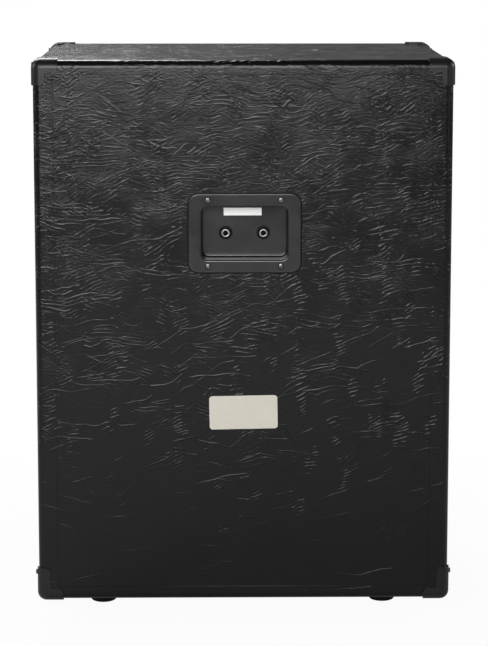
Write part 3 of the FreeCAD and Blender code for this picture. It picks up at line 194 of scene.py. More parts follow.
@dataclass(frozen=True)
class EmbossedVinyl(Finish):
    """PVC leathercloth, rolled hot against a levant grain: smooth hollows, bundles of raised creases."""

    base: str = "#0d0d0e"
    crest: str = "#161617"
    specular: float = 0.29
    depth: float = 0.55 * MM
    # Size and reach of the two slow bends that make the creases wander.
    wander: tuple[tuple[float, Triple], ...] = ((95 * MM, (0.03, 0.04, 0.0)), (30 * MM, (0.004, 0.008, 0.0)))
    # Creases are pressed deeper towards the top of the back, and pulled smooth over the bend of its top edge.
    press: Quad = (0.14, 0.64, 0.22, 1.25)
    top_bend: float = 706 * MM
    pull: Quad = (6 * MM, 16 * MM, 0.25, 1.0)
    # Fine grain between the creases: length, width and curl, strength up the back, and where it is rubbed.
    grain: Triple = (4.8 * MM, 2.6 * MM, 1.4)
    firm: Quad = (0.06, 0.36, 0.26, 0.38)
    rubbed: Quad = (0.36, 0.62, 0.7, 1.2)
    cloud: float = 60 * MM
    gloss: Quad = (*MOST, 0.17, 0.24)
    raised: Quad = (0.2, 1.2, 0.0, 1.0)
    # How slowly a crease's sway and its starts and ends change from row to row, and how soft its ends are.
    slow_rows: Pair = (0.45, 0.8)
    life_shift: Triple = (0.4, 0.7, 0.0)
    life_fade: Pair = (0.04, 0.1)
    patch_fade: Pair = (0.06, 0.1)
    families: tuple[CreaseFamily, ...] = (
        CreaseFamily(22, 2.2, 70, 5, 1.6, 1.0, gaps=0.48, patch=(190, 110), cover=0.46, seed=0.0),
        CreaseFamily(20, 2.0, 48, -24, 1.4, 0.9, gaps=0.50, patch=(120, 80), cover=0.50, seed=3.7),
        CreaseFamily(20, 2.0, 46, 28, 1.4, 0.9, gaps=0.50, patch=(120, 80), cover=0.51, seed=29.3),
        CreaseFamily(4.6, 2.4, 15, 24, 0.9, 1.0, gaps=0.42, patch=(26, 46), cover=0.585, seed=7.1),
        CreaseFamily(4.6, 2.4, 15, -34, 0.9, 0.9, gaps=0.42, patch=(28, 42), cover=0.61, seed=11.9),
        CreaseFamily(5.0, 2.4, 34, -2, 1.3, 0.7, gaps=0.44, patch=(80, 34), cover=0.58, seed=17.3),
    )

    def grow(self, tree: Tree, shader: bpy.types.Node) -> None:
        """Sums the crease families into one relief, which also sets the colour.

        Args:
            tree: Node tree of the material.
            shader: The shader that the nodes end in.
        """
        place = node(tree, "UVMap", uv_map=COVER_UV).outputs[0]
        bent = place
        for size, reach in self.wander:
            drift = node(tree, "TexNoise", {"Vector": place, "Scale": 1 / size, "Detail": 1.0})
            bent = node(tree, "VectorMath", {0: drift.outputs["Color"], 1: reach, 2: bent},
                        operation="MULTIPLY_ADD").outputs[0]
        relief: Setting = 0.0
        for family in self.families:
            relief = self.crease(tree, family, place, bent, relief)
        up = node(tree, "SeparateXYZ", {0: place}).outputs["Y"]
        press = node(tree, "MapRange", {"Value": up, RANGE: self.press}).outputs[0]
        bend = node(tree, "Math", {0: up, 1: self.top_bend}, operation="SUBTRACT").outputs[0]
        bend = node(tree, "Math", {0: bend}, operation="ABSOLUTE").outputs[0]
        pulled = node(tree, "MapRange", {"Value": bend, RANGE: self.pull}).outputs[0]
        for share in (press, pulled):
            relief = node(tree, "Math", {0: relief, 1: share}, operation="MULTIPLY").outputs[0]
        cloud = node(tree, "TexNoise", {"Vector": place, "Scale": 1 / self.cloud, "Detail": 3.0}).outputs[0]
        long, wide, curl = self.grain
        lay = node(tree, "Mapping", {"Vector": bent, "Scale": (1 / long, 1 / wide, 1.0)}).outputs[0]
        grain = node(tree, "TexNoise", {"Vector": lay, "Scale": 1.0, "Detail": 2.0,
                                        "Distortion": curl}).outputs[0]
        firm = node(tree, "MapRange", {"Value": up, RANGE: self.firm}).outputs[0]
        rubbed = node(tree, "MapRange", {"Value": cloud, RANGE: self.rubbed}).outputs[0]
        firm = node(tree, "Math", {0: firm, 1: rubbed}, operation="MULTIPLY").outputs[0]
        height = node(tree, "Math", {0: grain, 1: firm, 2: relief}, operation="MULTIPLY_ADD").outputs[0]
        bump = node(tree, "Bump", {"Height": height, "Distance": self.depth, "Strength": 1.0}).outputs[0]
        crest = node(tree, "MapRange", {"Value": relief, RANGE: self.raised}).outputs[0]
        colour = node(tree, "Mix", {0: crest, 6: linear(self.base), 7: linear(self.crest)}, data_type="RGBA")
        gloss = node(tree, "MapRange", {"Value": cloud, RANGE: self.gloss}).outputs[0]
        self.wear(tree, shader, colour.outputs[2], gloss, bump)
        shader.inputs["Specular IOR Level"].default_value = self.specular

    def crease(self, tree: Tree, family: CreaseFamily, place: Socket, bent: Socket, below: Setting) -> Socket:
        """Adds one family of creases to the relief: level waves that wander, each with its own start and end.

        Args:
            tree: Node tree of the material.
            family: Sizes of the family.
            place: Flat place on the covering, in metres.
            bent: The same place, bent so that the creases wander.
            below: Relief of the families before this one.

        Returns:
            The socket of the summed relief.
        """
        along, across = 1 / (family.along * MM), 1 / (family.pitch * MM)
        slow_sway, slow_life = self.slow_rows
        turned = node(tree, "Mapping", {"Vector": bent, "Rotation": (0, 0, math.radians(family.tilt)),
                                        "Location": (family.seed, family.seed, 0.0)}).outputs[0]
        run = node(tree, "Mapping", {"Vector": turned, "Scale": (along, slow_sway * across, 1.0)}).outputs[0]
        swell = node(tree, "TexNoise", {"Vector": run, "Scale": 1.0, "Detail": 1.5}).outputs[0]
        row = node(tree, "SeparateXYZ", {0: turned}).outputs["Y"]
        rows = node(tree, "Math", {0: row, 1: across}, operation="MULTIPLY").outputs[0]
        count = node(tree, "Math", {0: swell, 1: family.sway, 2: rows}, operation="MULTIPLY_ADD").outputs[0]
        phase = node(tree, "Math", {0: count, 1: 2 * math.pi}, operation="MULTIPLY").outputs[0]
        wave = node(tree, "Math", {0: phase}, operation="SINE").outputs[0]
        foot = math.cos(math.pi * family.width / family.pitch)
        ridge = node(tree, "MapRange", {"Value": wave, RANGE: (foot, 1.0, 0.0, family.weight)},
                     interpolation_type="SMOOTHSTEP").outputs[0]
        span = node(tree, "Mapping", {"Vector": turned, "Location": self.life_shift,
                                      "Scale": (along, slow_life * across, 1.0)}).outputs[0]
        wide, tall = (1 / (size * MM) for size in family.patch)
        field = node(tree, "Mapping", {"Vector": place, "Location": (family.seed * 2, family.seed, 0.0),
                                       "Scale": (wide, tall, 1.0)}).outputs[0]
        shares = []
        for spot, detail, middle, fade in ((span, 1.0, family.gaps, self.life_fade),
                                           (field, 2.5, family.cover, self.patch_fade)):
            spread = node(tree, "TexNoise", {"Vector": spot, "Scale": 1.0, "Detail": detail}).outputs[0]
            shares.append(node(tree, "MapRange", {"Value": spread, 1: middle - fade[0], 2: middle + fade[1]},
                               interpolation_type="SMOOTHSTEP").outputs[0])
        shown = node(tree, "Math", {0: shares[0], 1: shares[1]}, operation="MULTIPLY").outputs[0]
        return node(tree, "Math", {0: ridge, 1: shown, 2: below}, operation="MULTIPLY_ADD").outputs[0]


@dataclass(frozen=True)
class MouldedSkin(Finish):
    """Moulded plastic or rubber, or a sprayed coat: fine grit all over, faint mottling and light scuffs."""

    colour: str
    worn: str
    gloss: float
    dull: float
    grit: float
    depth: float
    specular: float = 0.5
    cloud: float = 24 * MM
    scuff: Pair = (14 * MM, 0.9 * MM)
    scuffed: Quad = (0.62, 0.78, 0.0, 0.5)
    mottled: Quad = (0.35, 0.7, 0.0, 0.5)

    def grow(self, tree: Tree, shader: bpy.types.Node) -> None:
        """Links grit to the bump, and mottling and scuffs to colour and roughness.

        Args:
            tree: Node tree of the material.
            shader: The shader that the nodes end in.
        """
        place = node(tree, "TexCoord").outputs["Object"]
        grit = node(tree, "TexNoise", {"Vector": place, "Scale": 1 / (self.grit * MM),
                                       "Detail": 3.0}).outputs[0]
        cloud = node(tree, "TexNoise", {"Vector": place, "Scale": 1 / self.cloud, "Detail": 4.0,
                                        "Roughness": 0.6}).outputs[0]
        streak = node(tree, "Mapping", {"Vector": place, "Scale": Axis.X.stretch(*self.scuff)}).outputs[0]
        scuff = node(tree, "TexNoise", {"Vector": streak, "Scale": 1.0, "Detail": 2.0}).outputs[0]
        rubbed = node(tree, "MapRange", {"Value": scuff, RANGE: self.scuffed}).outputs[0]
        mottled = node(tree, "MapRange", {"Value": cloud, RANGE: self.mottled}).outputs[0]
        shade = node(tree, "Math", {0: rubbed, 1: mottled}, operation="ADD").outputs[0]
        colour = node(tree, "Mix", {0: shade, 6: linear(self.colour), 7: linear(self.worn)}, data_type="RGBA")
        gloss = node(tree, "MapRange", {"Value": cloud, RANGE: (*MOST, self.gloss, self.dull)}).outputs[0]
        bump = node(tree, "Bump", {"Height": grit, "Distance": self.depth * MM, "Strength": 0.6}).outputs[0]
        self.wear(tree, shader, colour.outputs[2], gloss, bump)
        shader.inputs["Specular IOR Level"].default_value = self.specular


@dataclass(frozen=True)
class WorkedMetal(Finish):
    """Plated, oiled or bare metal: drawn or turned lines, and a dull bloom that breaks up its shine."""

    colour: str
    bloom: str
    gloss: float
    dull: float
    line: float
    runs: Axis = Axis.X
    depth: float = 0.02 * MM
    # A worked line's length, in widths, and its share in the roughness.
    drawn: float = 30.0
    lined: float = 0.5
    cloud: float = 7 * MM
    bloomed: Quad = (0.35, 0.75, 0.0, 1.0)
    worked: Pair = (0.2, 1.1)

    def grow(self, tree: Tree, shader: bpy.types.Node) -> None:
        """Links the worked lines to roughness and bump, and the bloom to colour.

        Args:
            tree: Node tree of the material.
            shader: The shader that the nodes end in.
        """
        place = node(tree, "TexCoord").outputs["Object"]
        stretch = self.runs.stretch(self.drawn * self.line * MM, self.line * MM)
        drawn = node(tree, "Mapping", {"Vector": place, "Scale": stretch}).outputs[0]
        lines = node(tree, "TexNoise", {"Vector": drawn, "Scale": 1.0, "Detail": 3.0}).outputs[0]
        cloud = node(tree, "TexNoise", {"Vector": place, "Scale": 1 / self.cloud, "Detail": 4.0,
                                        "Roughness": 0.6}).outputs[0]
        tint = node(tree, "MapRange", {"Value": cloud, RANGE: self.bloomed}).outputs[0]
        colour = node(tree, "Mix", {0: tint, 6: linear(self.colour), 7: linear(self.bloom)}, data_type="RGBA")
        mixed = node(tree, "Math", {0: lines, 1: self.lined, 2: tint}, operation="MULTIPLY_ADD").outputs[0]
        gloss = node(tree, "MapRange", {"Value": mixed, RANGE: (*self.worked, self.gloss, self.dull)})
        bump = node(tree, "Bump", {"Height": lines, "Distance": self.depth, "Strength": 0.5}).outputs[0]
        self.wear(tree, shader, colour.outputs[2], gloss.outputs[0], bump)
        shader.inputs["Metallic"].default_value = 1.0


@dataclass(frozen=True)
class SawnWood(Finish):
    """Rotary-cut veneer or planed softwood: long pale grain with darker pores, dry and unvarnished."""

    pale: str
    dark: str
    grain: float
    runs: Axis
    rough: Pair = (0.68, 0.83)
    figure: float = 160 * MM
    pore: Pair = (9 * MM, 0.8 * MM)
    pitted: Quad = (0.58, 0.72, 0.0, 0.45)
    toned: Quad = (*MOST, 0.0, 0.7)
    depth: float = 0.15 * MM

    def grow(self, tree: Tree, shader: bpy.types.Node) -> None:
        """Links the figure and the pores to colour and bump.

        Args:
            tree: Node tree of the material.
            shader: The shader that the nodes end in.
        """
        place = node(tree, "TexCoord").outputs["Object"]
        stretch = self.runs.stretch(self.figure, self.grain * MM)
        bands = node(tree, "Mapping", {"Vector": place, "Scale": stretch}).outputs[0]
        figure = node(tree, "TexNoise", {"Vector": bands, "Scale": 1.0, "Detail": 4.0,
                                         "Distortion": 0.6}).outputs[0]
        slots = node(tree, "Mapping", {"Vector": place, "Scale": self.runs.stretch(*self.pore)}).outputs[0]
        pores = node(tree, "TexNoise", {"Vector": slots, "Scale": 1.0, "Detail": 2.0}).outputs[0]
        pit = node(tree, "MapRange", {"Value": pores, RANGE: self.pitted}).outputs[0]
        tone = node(tree, "MapRange", {"Value": figure, RANGE: self.toned}).outputs[0]
        shade = node(tree, "Math", {0: tone, 1: pit}, operation="ADD", use_clamp=True).outputs[0]
        colour = node(tree, "Mix", {0: shade, 6: linear(self.pale), 7: linear(self.dark)}, data_type="RGBA")
        bump = node(tree, "Bump", {"Height": shade, "Distance": self.depth, "Strength": 0.5},
                    invert=True).outputs[0]
        rough = node(tree, "MapRange", {"Value": shade, RANGE: (0.0, 1.0, *self.rough)}).outputs[0]
        self.wear(tree, shader, colour.outputs[2], rough, bump)


@dataclass(frozen=True)
class PressedFibre(Finish):
    """Pulp, cork or coated paper: short tangled fibres pressed flat, matt, with a speckled tone."""

    colour: str
    speck: str
    fibre: float
    gloss: float
    dull: float
    depth: float
    share: float = 0.5
    # A speck's size in fibres, its share in the tone, and the tone's own range.
    speck_size: float = 2.2
    speckled: float = 0.2
    toned: Pair = (0.15, 0.6)
    cloud: float = 18 * MM

    def grow(self, tree: Tree, shader: bpy.types.Node) -> None:
        """Links fibres and specks to colour, roughness and bump.

        Args:
            tree: Node tree of the material.
            shader: The shader that the nodes end in.
        """
        place = node(tree, "TexCoord").outputs["Object"]
        tangle = node(tree, "TexNoise", {"Vector": place, "Scale": 1 / (self.fibre * MM), "Detail": 5.0,
                                         "Roughness": 0.65, "Distortion": 1.6}).outputs[0]
        specks = node(tree, "TexVoronoi", {"Vector": place, "Scale": 1 / (self.speck_size * self.fibre * MM)})
        cloud = node(tree, "TexNoise", {"Vector": place, "Scale": 1 / self.cloud, "Detail": 3.0}).outputs[0]
        mixed = node(tree, "Math", {0: tangle, 1: cloud}, operation="MULTIPLY").outputs[0]
        dotted = node(tree, "Math", {0: specks.outputs["Distance"], 1: self.speckled, 2: mixed},
                      operation="MULTIPLY_ADD").outputs[0]
        tone = node(tree, "MapRange", {"Value": dotted, RANGE: (*self.toned, 0.0, self.share)}).outputs[0]
        colour = node(tree, "Mix", {0: tone, 6: linear(self.colour), 7: linear(self.speck)}, data_type="RGBA")
        gloss = node(tree, "MapRange", {"Value": cloud, RANGE: (*MOST, self.gloss, self.dull)}).outputs[0]
        bump = node(tree, "Bump", {"Height": tangle, "Distance": self.depth * MM, "Strength": 0.6}).outputs[0]
        self.wear(tree, shader, colour.outputs[2], gloss, bump)


@dataclass(frozen=True)
class PlainWeave(Finish):
    """Plain-woven cloth: warp and weft cross one over one, each crossing crowned, with paler flecks and
    painted shade between the threads.
    """

    warp: str
    weft: str
    fleck: str
    thread: float
    flecks: float
    depth: float
    rough: float = 0.82
    # Painted shade in the gaps between threads, fuzz to a thread, its share in the relief, spread of the
    # roughness.
    gaps: Quad = (0.0, 0.8, 0.25, 1.0)
    fuzz: float = 3.0
    fuzzy: float = 0.3
    spread: float = 0.1
    sheen: float = 0.15

    def grow(self, tree: Tree, shader: bpy.types.Node) -> None:
        """Links the crossings of the threads to bump, and to colour as painted shade between the threads.

        Args:
            tree: Node tree of the material.
            shader: The shader that the nodes end in.
        """
        place = node(tree, "TexCoord").outputs["Object"]
        count = node(tree, "Mapping", {"Vector": place, "Scale": (1 / (self.thread * MM),) * 3}).outputs[0]
        flat = node(tree, "VectorMath", {0: count, 1: (1.0, 0.0, 1.0)}, operation="MULTIPLY").outputs[0]
        parts = node(tree, "SeparateXYZ", {0: flat})
        crowns = []
        for side in ("X", "Z"):
            turn = node(tree, "Math", {0: parts.outputs[side], 1: math.pi}, operation="MULTIPLY").outputs[0]
            sine = node(tree, "Math", {0: turn}, operation="SINE").outputs[0]
            crowns.append(node(tree, "Math", {0: sine}, operation="ABSOLUTE").outputs[0])
        over = node(tree, "TexChecker", {"Vector": flat, "Scale": 1.0}).outputs["Fac"]
        crown = node(tree, "Mix", {0: over, 2: crowns[0], 3: crowns[1]}).outputs[0]
        cell = node(tree, "VectorMath", {0: flat}, operation="FLOOR").outputs[0]
        toss = node(tree, "TexWhiteNoise", {0: cell}).outputs["Value"]
        pale = node(tree, "Math", {0: toss, 1: 1.0 - self.flecks}, operation="GREATER_THAN").outputs[0]
        thread = node(tree, "Mix", {0: over, 6: linear(self.warp), 7: linear(self.weft)}, data_type="RGBA")
        yarn = node(tree, "Mix", {0: pale, 6: thread.outputs[2], 7: linear(self.fleck)}, data_type="RGBA")
        # Painted shade: the thread colour darkens towards each thread's edge, where the threads dip under one
        # another.
        shade = node(tree, "MapRange", {"Value": crown, RANGE: self.gaps}).outputs[0]
        colour = node(tree, "Mix", {0: 1.0, 6: yarn.outputs[2], 7: shade}, data_type="RGBA",
                      blend_type="MULTIPLY")
        fuzz = node(tree, "TexNoise", {"Vector": count, "Scale": self.fuzz, "Detail": 2.0}).outputs[0]
        height = node(tree, "Math", {0: fuzz, 1: self.fuzzy, 2: crown}, operation="MULTIPLY_ADD").outputs[0]
        bump = node(tree, "Bump", {"Height": height, "Distance": self.depth * MM, "Strength": 0.8}).outputs[0]
        rough = node(tree, "MapRange", {"Value": fuzz, 3: self.rough - self.spread,
                                        4: self.rough + self.spread})
        self.wear(tree, shader, colour.outputs[2], rough.outputs[0], bump)
        shader.inputs["Sheen Weight"].default_value = self.sheen


@dataclass(frozen=True)
class PaperSweep(Finish):
    """White studio paper: pale with a faint tooth, and white to the camera further out."""

    dark: str = "#cecece"
    pale: str = "#d6d6d6"
    tooth: float = 3 * MM
    rough: float = 0.9
    specular: float = 0.1
    # Distance from the middle, in metres, and the share of plain white that the camera sees there.
    bleached: Quad = (0.3, 0.9, 0.95, 1.0)

    def grow(self, tree: Tree, shader: bpy.types.Node) -> None:
        """Links the tooth to colour, and mixes in white for the camera.

        Args:
            tree: Node tree of the material.
            shader: The shader that the nodes end in.
        """
        place = node(tree, "TexCoord").outputs["Object"]
        tooth = node(tree, "TexNoise", {"Vector": place, "Scale": 1 / self.tooth, "Detail": 3.0}).outputs[0]
        colour = node(tree, "Mix", {0: tooth, 6: linear(self.dark), 7: linear(self.pale)}, data_type="RGBA")
        tree.links.new(colour.outputs[2], shader.inputs["Base Color"])
        shader.inputs["Roughness"].default_value = self.rough
        shader.inputs["Specular IOR Level"].default_value = self.specular
        out = node(tree, "VectorMath", {0: place}, operation="LENGTH").outputs["Value"]
        far = node(tree, "MapRange", {"Value": out, RANGE: self.bleached},
                   interpolation_type="SMOOTHSTEP").outputs[0]
        seen = node(tree, "LightPath").outputs["Is Camera Ray"]
        share = node(tree, "Math", {0: far, 1: seen}, operation="MULTIPLY").outputs[0]
        white = node(tree, "Emission", {"Color": (1, 1, 1, 1), "Strength": 1.0}).outputs[0]
        mixed = node(tree, "MixShader", {0: share, 1: shader.outputs[0], 2: white}).outputs[0]
        tree.links.new(mixed, tree.nodes["Material Output"].inputs["Surface"])


FINISHES: dict[str, Finish] = {
    # Calendered PVC on cotton, embossed hot: satin black that catches the light on each crease.
    "vinyl": EmbossedVinyl("embossed_pvc_leathercloth"),
    # Poplar ply: pale rotary veneer, seen only inside the box.
    "plywood": SawnWood("poplar_plywood", pale="#c8a878", dark="#94703f", grain=9, runs=Axis.Z),
    # Planed pine for the grille frame, stained dark so that it doesn't show through the cloth.
    "grille_wood": SawnWood("stained_pine", pale="#2c2621", dark="#17130f", grain=5, runs=Axis.Z),
    # Matt black latex paint, rolled on, which leaves an orange-peel stipple.
    "baffle_paint": MouldedSkin("rolled_black_paint", "#161616", "#222221", 0.6, 0.75, 2.4, 0.25),
    # Injection-moulded ABS with a spark-eroded satin: smooth grey-black with soft highlights.
    "corner_plastic": MouldedSkin("satin_moulded_abs", "#161617", "#212122", 0.28, 0.36, 1.1, 0.05, 0.3),
    # Black zinc on steel screws: grey and glossy, so that the cross and the rim of each head glint.
    "black_screw": WorkedMetal("black_zinc_steel", "#707072", "#504e4d", 0.12, 0.24, 0.5),
    # Bright zinc plate: bluish silver with a cloudy passivated bloom.
    "zinc": WorkedMetal("zinc_plated_steel", "#b9bdc2", "#8f9399", 0.28, 0.45, 0.4),
    # Moulded rubber: deep black, dull, with a little chalky bloom.
    "foot_rubber": MouldedSkin("moulded_rubber", "#0e0e0e", "#1d1d1c", 0.6, 0.8, 0.9, 0.08, 0.3),
    # Injection-moulded ABS plate: a faint spark-eroded texture under a clear sheen.
    "plate_plastic": MouldedSkin("textured_moulded_abs", "#19191a", "#222223", 0.18, 0.24, 0.9, 0.03, 0.6),
    # Glass-filled nylon jack bodies and nuts, and the black ring of painted shadow round the plate: deep
    # black with a soft shine.
    "jack_plastic": MouldedSkin("moulded_nylon", "#040404", "#0a0a0a", 0.3, 0.42, 0.7, 0.03, 0.14),
    # Nickel on turned brass: bright ring with turned lines.
    "jack_chrome": WorkedMetal("bright_nickel", "#b0b0ae", "#9b9a97", 0.14, 0.3, 0.25, Axis.Y),
    # Stamped spring brass tags: yellow, with a dull brown bloom.
    "contact_brass": WorkedMetal("stamped_brass", "#c7a253", "#8f7136", 0.25, 0.45, 0.4, Axis.Z),
    # Coated white paper sticker: smooth and faintly glossy.
    "sticker_paper": PressedFibre("coated_paper", "#f0f0ee", "#dadad6", 0.9, 0.38, 0.5, 0.02),
    # Silvered polyester label: pale warm grey with a dull sheen.
    "label_foil": PressedFibre("silvered_polyester", "#cbc6ba", "#b5b0a4", 0.7, 0.36, 0.48, 0.02),
    # Pressed steel, powder coated black: fine orange-peel.
    "handle_steel": MouldedSkin("black_powder_coat", "#141415", "#232324", 0.38, 0.52, 1.0, 0.08),
    # Nickel-plated steel rod, drawn along its length.
    "bail_steel": WorkedMetal("nickel_plated_rod", "#b4b4b2", "#8a8a88", 0.2, 0.38, 0.3, Axis.Z),
    # Soft moulded grip rubber: black and dull.
    "grip_rubber": MouldedSkin("grip_rubber", "#121212", "#212120", 0.55, 0.72, 0.8, 0.06, 0.35),
    # Enamel sprayed on pressed steel baskets: black with a low gloss.
    "basket_paint": MouldedSkin("sprayed_black_enamel", "#131313", "#202020", 0.3, 0.42, 1.4, 0.05),
    # Turned mild steel, lightly zinc passivated: grey with turned lines.
    "motor_steel": WorkedMetal("turned_mild_steel", "#a3a5a8", "#74767a", 0.3, 0.5, 0.35, Axis.Y),
    # Sintered ferrite: charcoal, matt and slightly sandy.
    "ferrite": MouldedSkin("sintered_ferrite", "#2b2b2d", "#3c3c3e", 0.62, 0.78, 0.8, 0.1),
    # Felted paper pulp for the cones and caps, dyed grey-black: matt and fibrous.
    "cone_paper": PressedFibre("felted_paper_pulp", "#25231f", "#3a362f", 1.4, 0.8, 0.92, 0.16),
    # Doped cotton, treated brown-black and slightly tacky.
    "edge_cloth": PlainWeave("doped_cotton", "#1b1815", "#221e1a", "#2c2721", 1.4, 0.2, 0.18, 0.6),
    # Enamelled copper winding: warm and bright.
    "coil_copper": WorkedMetal("enamelled_copper", "#b4693a", "#8a4a24", 0.25, 0.4, 0.5, Axis.X),
    # Pressed cork gasket: brown crumbs, matt.
    "gasket_cork": PressedFibre("pressed_cork", "#8d6c45", "#5e4326", 1.6, 0.85, 0.95, 0.2, 0.8),
    # Polyester and paper yarn, black with silver flecks: threads of about 1.2 mm, drawn coarser to show.
    "grille_weave": PlainWeave("salt_and_pepper_grille_cloth", "#18181a", "#232325", "#7c7c7a",
                               1.9, 0.3, 0.5),
    # Extruded PVC piping, off-white and glossy.
    "piping_plastic": MouldedSkin("extruded_white_pvc", "#cfcabd", "#b9b3a5", 0.3, 0.42, 1.2, 0.03),
    # Nylon hook and loop tape, drawn coarser than its 0.8 mm pile.
    "hook_loop": PlainWeave("nylon_hook_and_loop", "#101010", "#161616", "#262626", 1.6, 0.3, 0.6, 0.9),
}


def placed(name: str, data: bpy.types.ID) -> bpy.types.Object:
    """Makes an object of a mesh, a light or a camera and links it to the scene.

    Args:
        name: Name of the object.
        data: What it shows.

    Returns:
        The new object, at the origin.
    """
    made = bpy.data.objects.new(name, data)
    bpy.context.scene.collection.objects.link(made)
    return made


@dataclass
class Piece:
    """One modelled piece on its way from a bmesh to a finished object that rides on a body."""

    name: str
    body: str
    slot: str
    nodes: tuple[str, ...]

    def finish(self, bm: Mesh, smooth: bool = True) -> bpy.types.Object:
        """Turns a bmesh into the piece's object, dressed, riding and standing for its nodes.

        Args:
            bm: The modelled shape, in metres in the shared frame; it is freed.
            smooth: Whether its faces are shaded smooth.

        Returns:
            The new object.
        """
        for face in bm.faces:
            face.smooth = smooth
        mesh = bpy.data.meshes.new(self.name)
        bm.to_mesh(mesh)
        bm.free()
        made = placed(self.name, mesh)
        mesh.materials.append(FINISHES[self.slot].material())
        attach(made, self.body)
        if self.nodes:
            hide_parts(*self.nodes)
        if smooth:
            made.modifiers.new("even shading", "WEIGHTED_NORMAL").keep_sharp = True
        LOG.info("%s: %d faces on %s", self.name, len(mesh.polygons), self.body)
        return made


def rounded(bm: Mesh, geom: Iterable[Edge | Vert], offset: float, segments: int,
            affect: str = "EDGES") -> list[Vert]:
    """Rounds edges or corners off.

    Args:
        bm: Mesh that holds them.
        geom: Edges or vertices to round.
        offset: Width of the round, in metres.
        segments: Faces across it.
        affect: "EDGES" or "VERTICES".

    Returns:
        The vertices of the round.
    """
    return bmesh.ops.bevel(bm, geom=list(geom), offset=offset, segments=segments, profile=0.5,
                           affect=affect, material=-1)["verts"]


def extruded(bm: Mesh, edges: list[Edge], along: Triple) -> list[Vert]:
    """Extrudes a wall from edges.

    Args:
        bm: Mesh that holds the edges.
        edges: Edges that the wall starts from.
        along: How far and which way it goes.

    Returns:
        The vertices at the wall's far side.
    """
    far = [item for item in bmesh.ops.extrude_edge_only(bm, edges=edges)["geom"] if isinstance(item, Vert)]
    bmesh.ops.translate(bm, vec=along, verts=far)
    return far


def upright(bm: Mesh, middle: Vector, half: Pair, way: int) -> list[Vert]:
    """Makes an upright rectangle that faces the back or the front.

    Args:
        bm: Mesh that takes it.
        middle: Its centre.
        half: Half width and half height.
        way: 1 to face along +Y, or -1.

    Returns:
        Its four vertices.
    """
    return bmesh.ops.create_grid(bm, x_segments=1, y_segments=1, size=1.0, matrix=Matrix.LocRotScale(
        middle, Matrix.Rotation(-way * math.pi / 2, 3, "X"), Vector((*half, 1))))["verts"]


def largest(faces: Iterable[Face]) -> Face:
    """Gives the face with the largest area."""
    return max(faces, key=lambda face: face.calc_area())


def facing(bm: Mesh, way: Triple) -> Face:
    """Finds the largest face that looks one way.

    Args:
        bm: Mesh to look in.
        way: Unit vector that the face looks along.

    Returns:
        The face.
    """
    bm.normal_update()
    return largest(face for face in bm.faces if face.normal.dot(Vector(way)) > LOOKING)


def opened(bm: Mesh, face: Face) -> list[Edge]:
    """Deletes a face and gives its edges, which stay."""
    edges = list(face.edges)
    bmesh.ops.delete(bm, geom=[face], context="FACES_ONLY")
    return edges


def window(bm: Mesh, way: Triple, middle: Vector, half: Vector) -> list[Edge]:
    """Cuts a window of a given size in the largest four-sided face that looks one way.

    Args:
        bm: Mesh that holds the face.
        way: Unit vector that the face looks along.
        middle: Centre of the window.
        half: Half size of the window on each axis; the face's own normal axis is left alone.

    Returns:
        The edges of the window.
    """
    face = facing(bm, way)
    bmesh.ops.inset_region(bm, faces=[face], thickness=2 * MM, use_boundary=True, use_even_offset=True)
    old = face.calc_center_median()
    for vert in face.verts:
        for i in range(3):
            if not way[i]:
                vert.co[i] = middle[i] + math.copysign(half[i], vert.co[i] - old[i])
    return opened(bm, face)


def spun(bm: Mesh, outline: list[Vector], middle: Vector, axis: Vector, steps: int) -> list[Face]:
    """Spins an outline into a closed shape.

    Args:
        bm: Mesh that takes the shape.
        outline: Points of the outline, in order.
        middle: Point on the axis.
        axis: Way of the axis.
        steps: Faces round it.

    Returns:
        The new faces, which look outwards.
    """
    old_verts, old_faces = set(bm.verts), set(bm.faces)
    verts = [bm.verts.new(spot) for spot in outline]
    edges = [bm.edges.new(pair) for pair in zip(verts, verts[1:])]
    bmesh.ops.spin(bm, geom=verts + edges, cent=middle, axis=axis, angle=2 * math.pi, steps=steps,
                   use_merge=True)
    bmesh.ops.remove_doubles(bm, verts=[vert for vert in bm.verts if vert not in old_verts], dist=TOUCH)
    made = [face for face in bm.faces if face not in old_faces]
    bmesh.ops.recalc_face_normals(bm, faces=made)
    return made


def solid_boxes(name: str) -> list[tuple[Vector, Vector]]:
    """Finds the box of each separate solid in one CAD node.

    Args:
        name: Name of the node.

    Returns:
        Lowest and highest corner of each solid.
    """
    bm = bmesh.new()
    bm.from_mesh(frame["nodes"][name].data)
    bmesh.ops.remove_doubles(bm, verts=bm.verts[:], dist=TOUCH)
    boxes = []
    done: set[Vert] = set()
    for start in bm.verts:
        if start in done:
            continue
        group, fresh = {start}, {start}
        while fresh:
            fresh = {edge.other_vert(vert) for vert in fresh for edge in vert.link_edges} - group
            group |= fresh
        done |= group
        boxes.append(tuple(Vector([end(vert.co[i] for vert in group) for i in range(3)])
                           for end in (min, max)))
    bm.free()
    return boxes


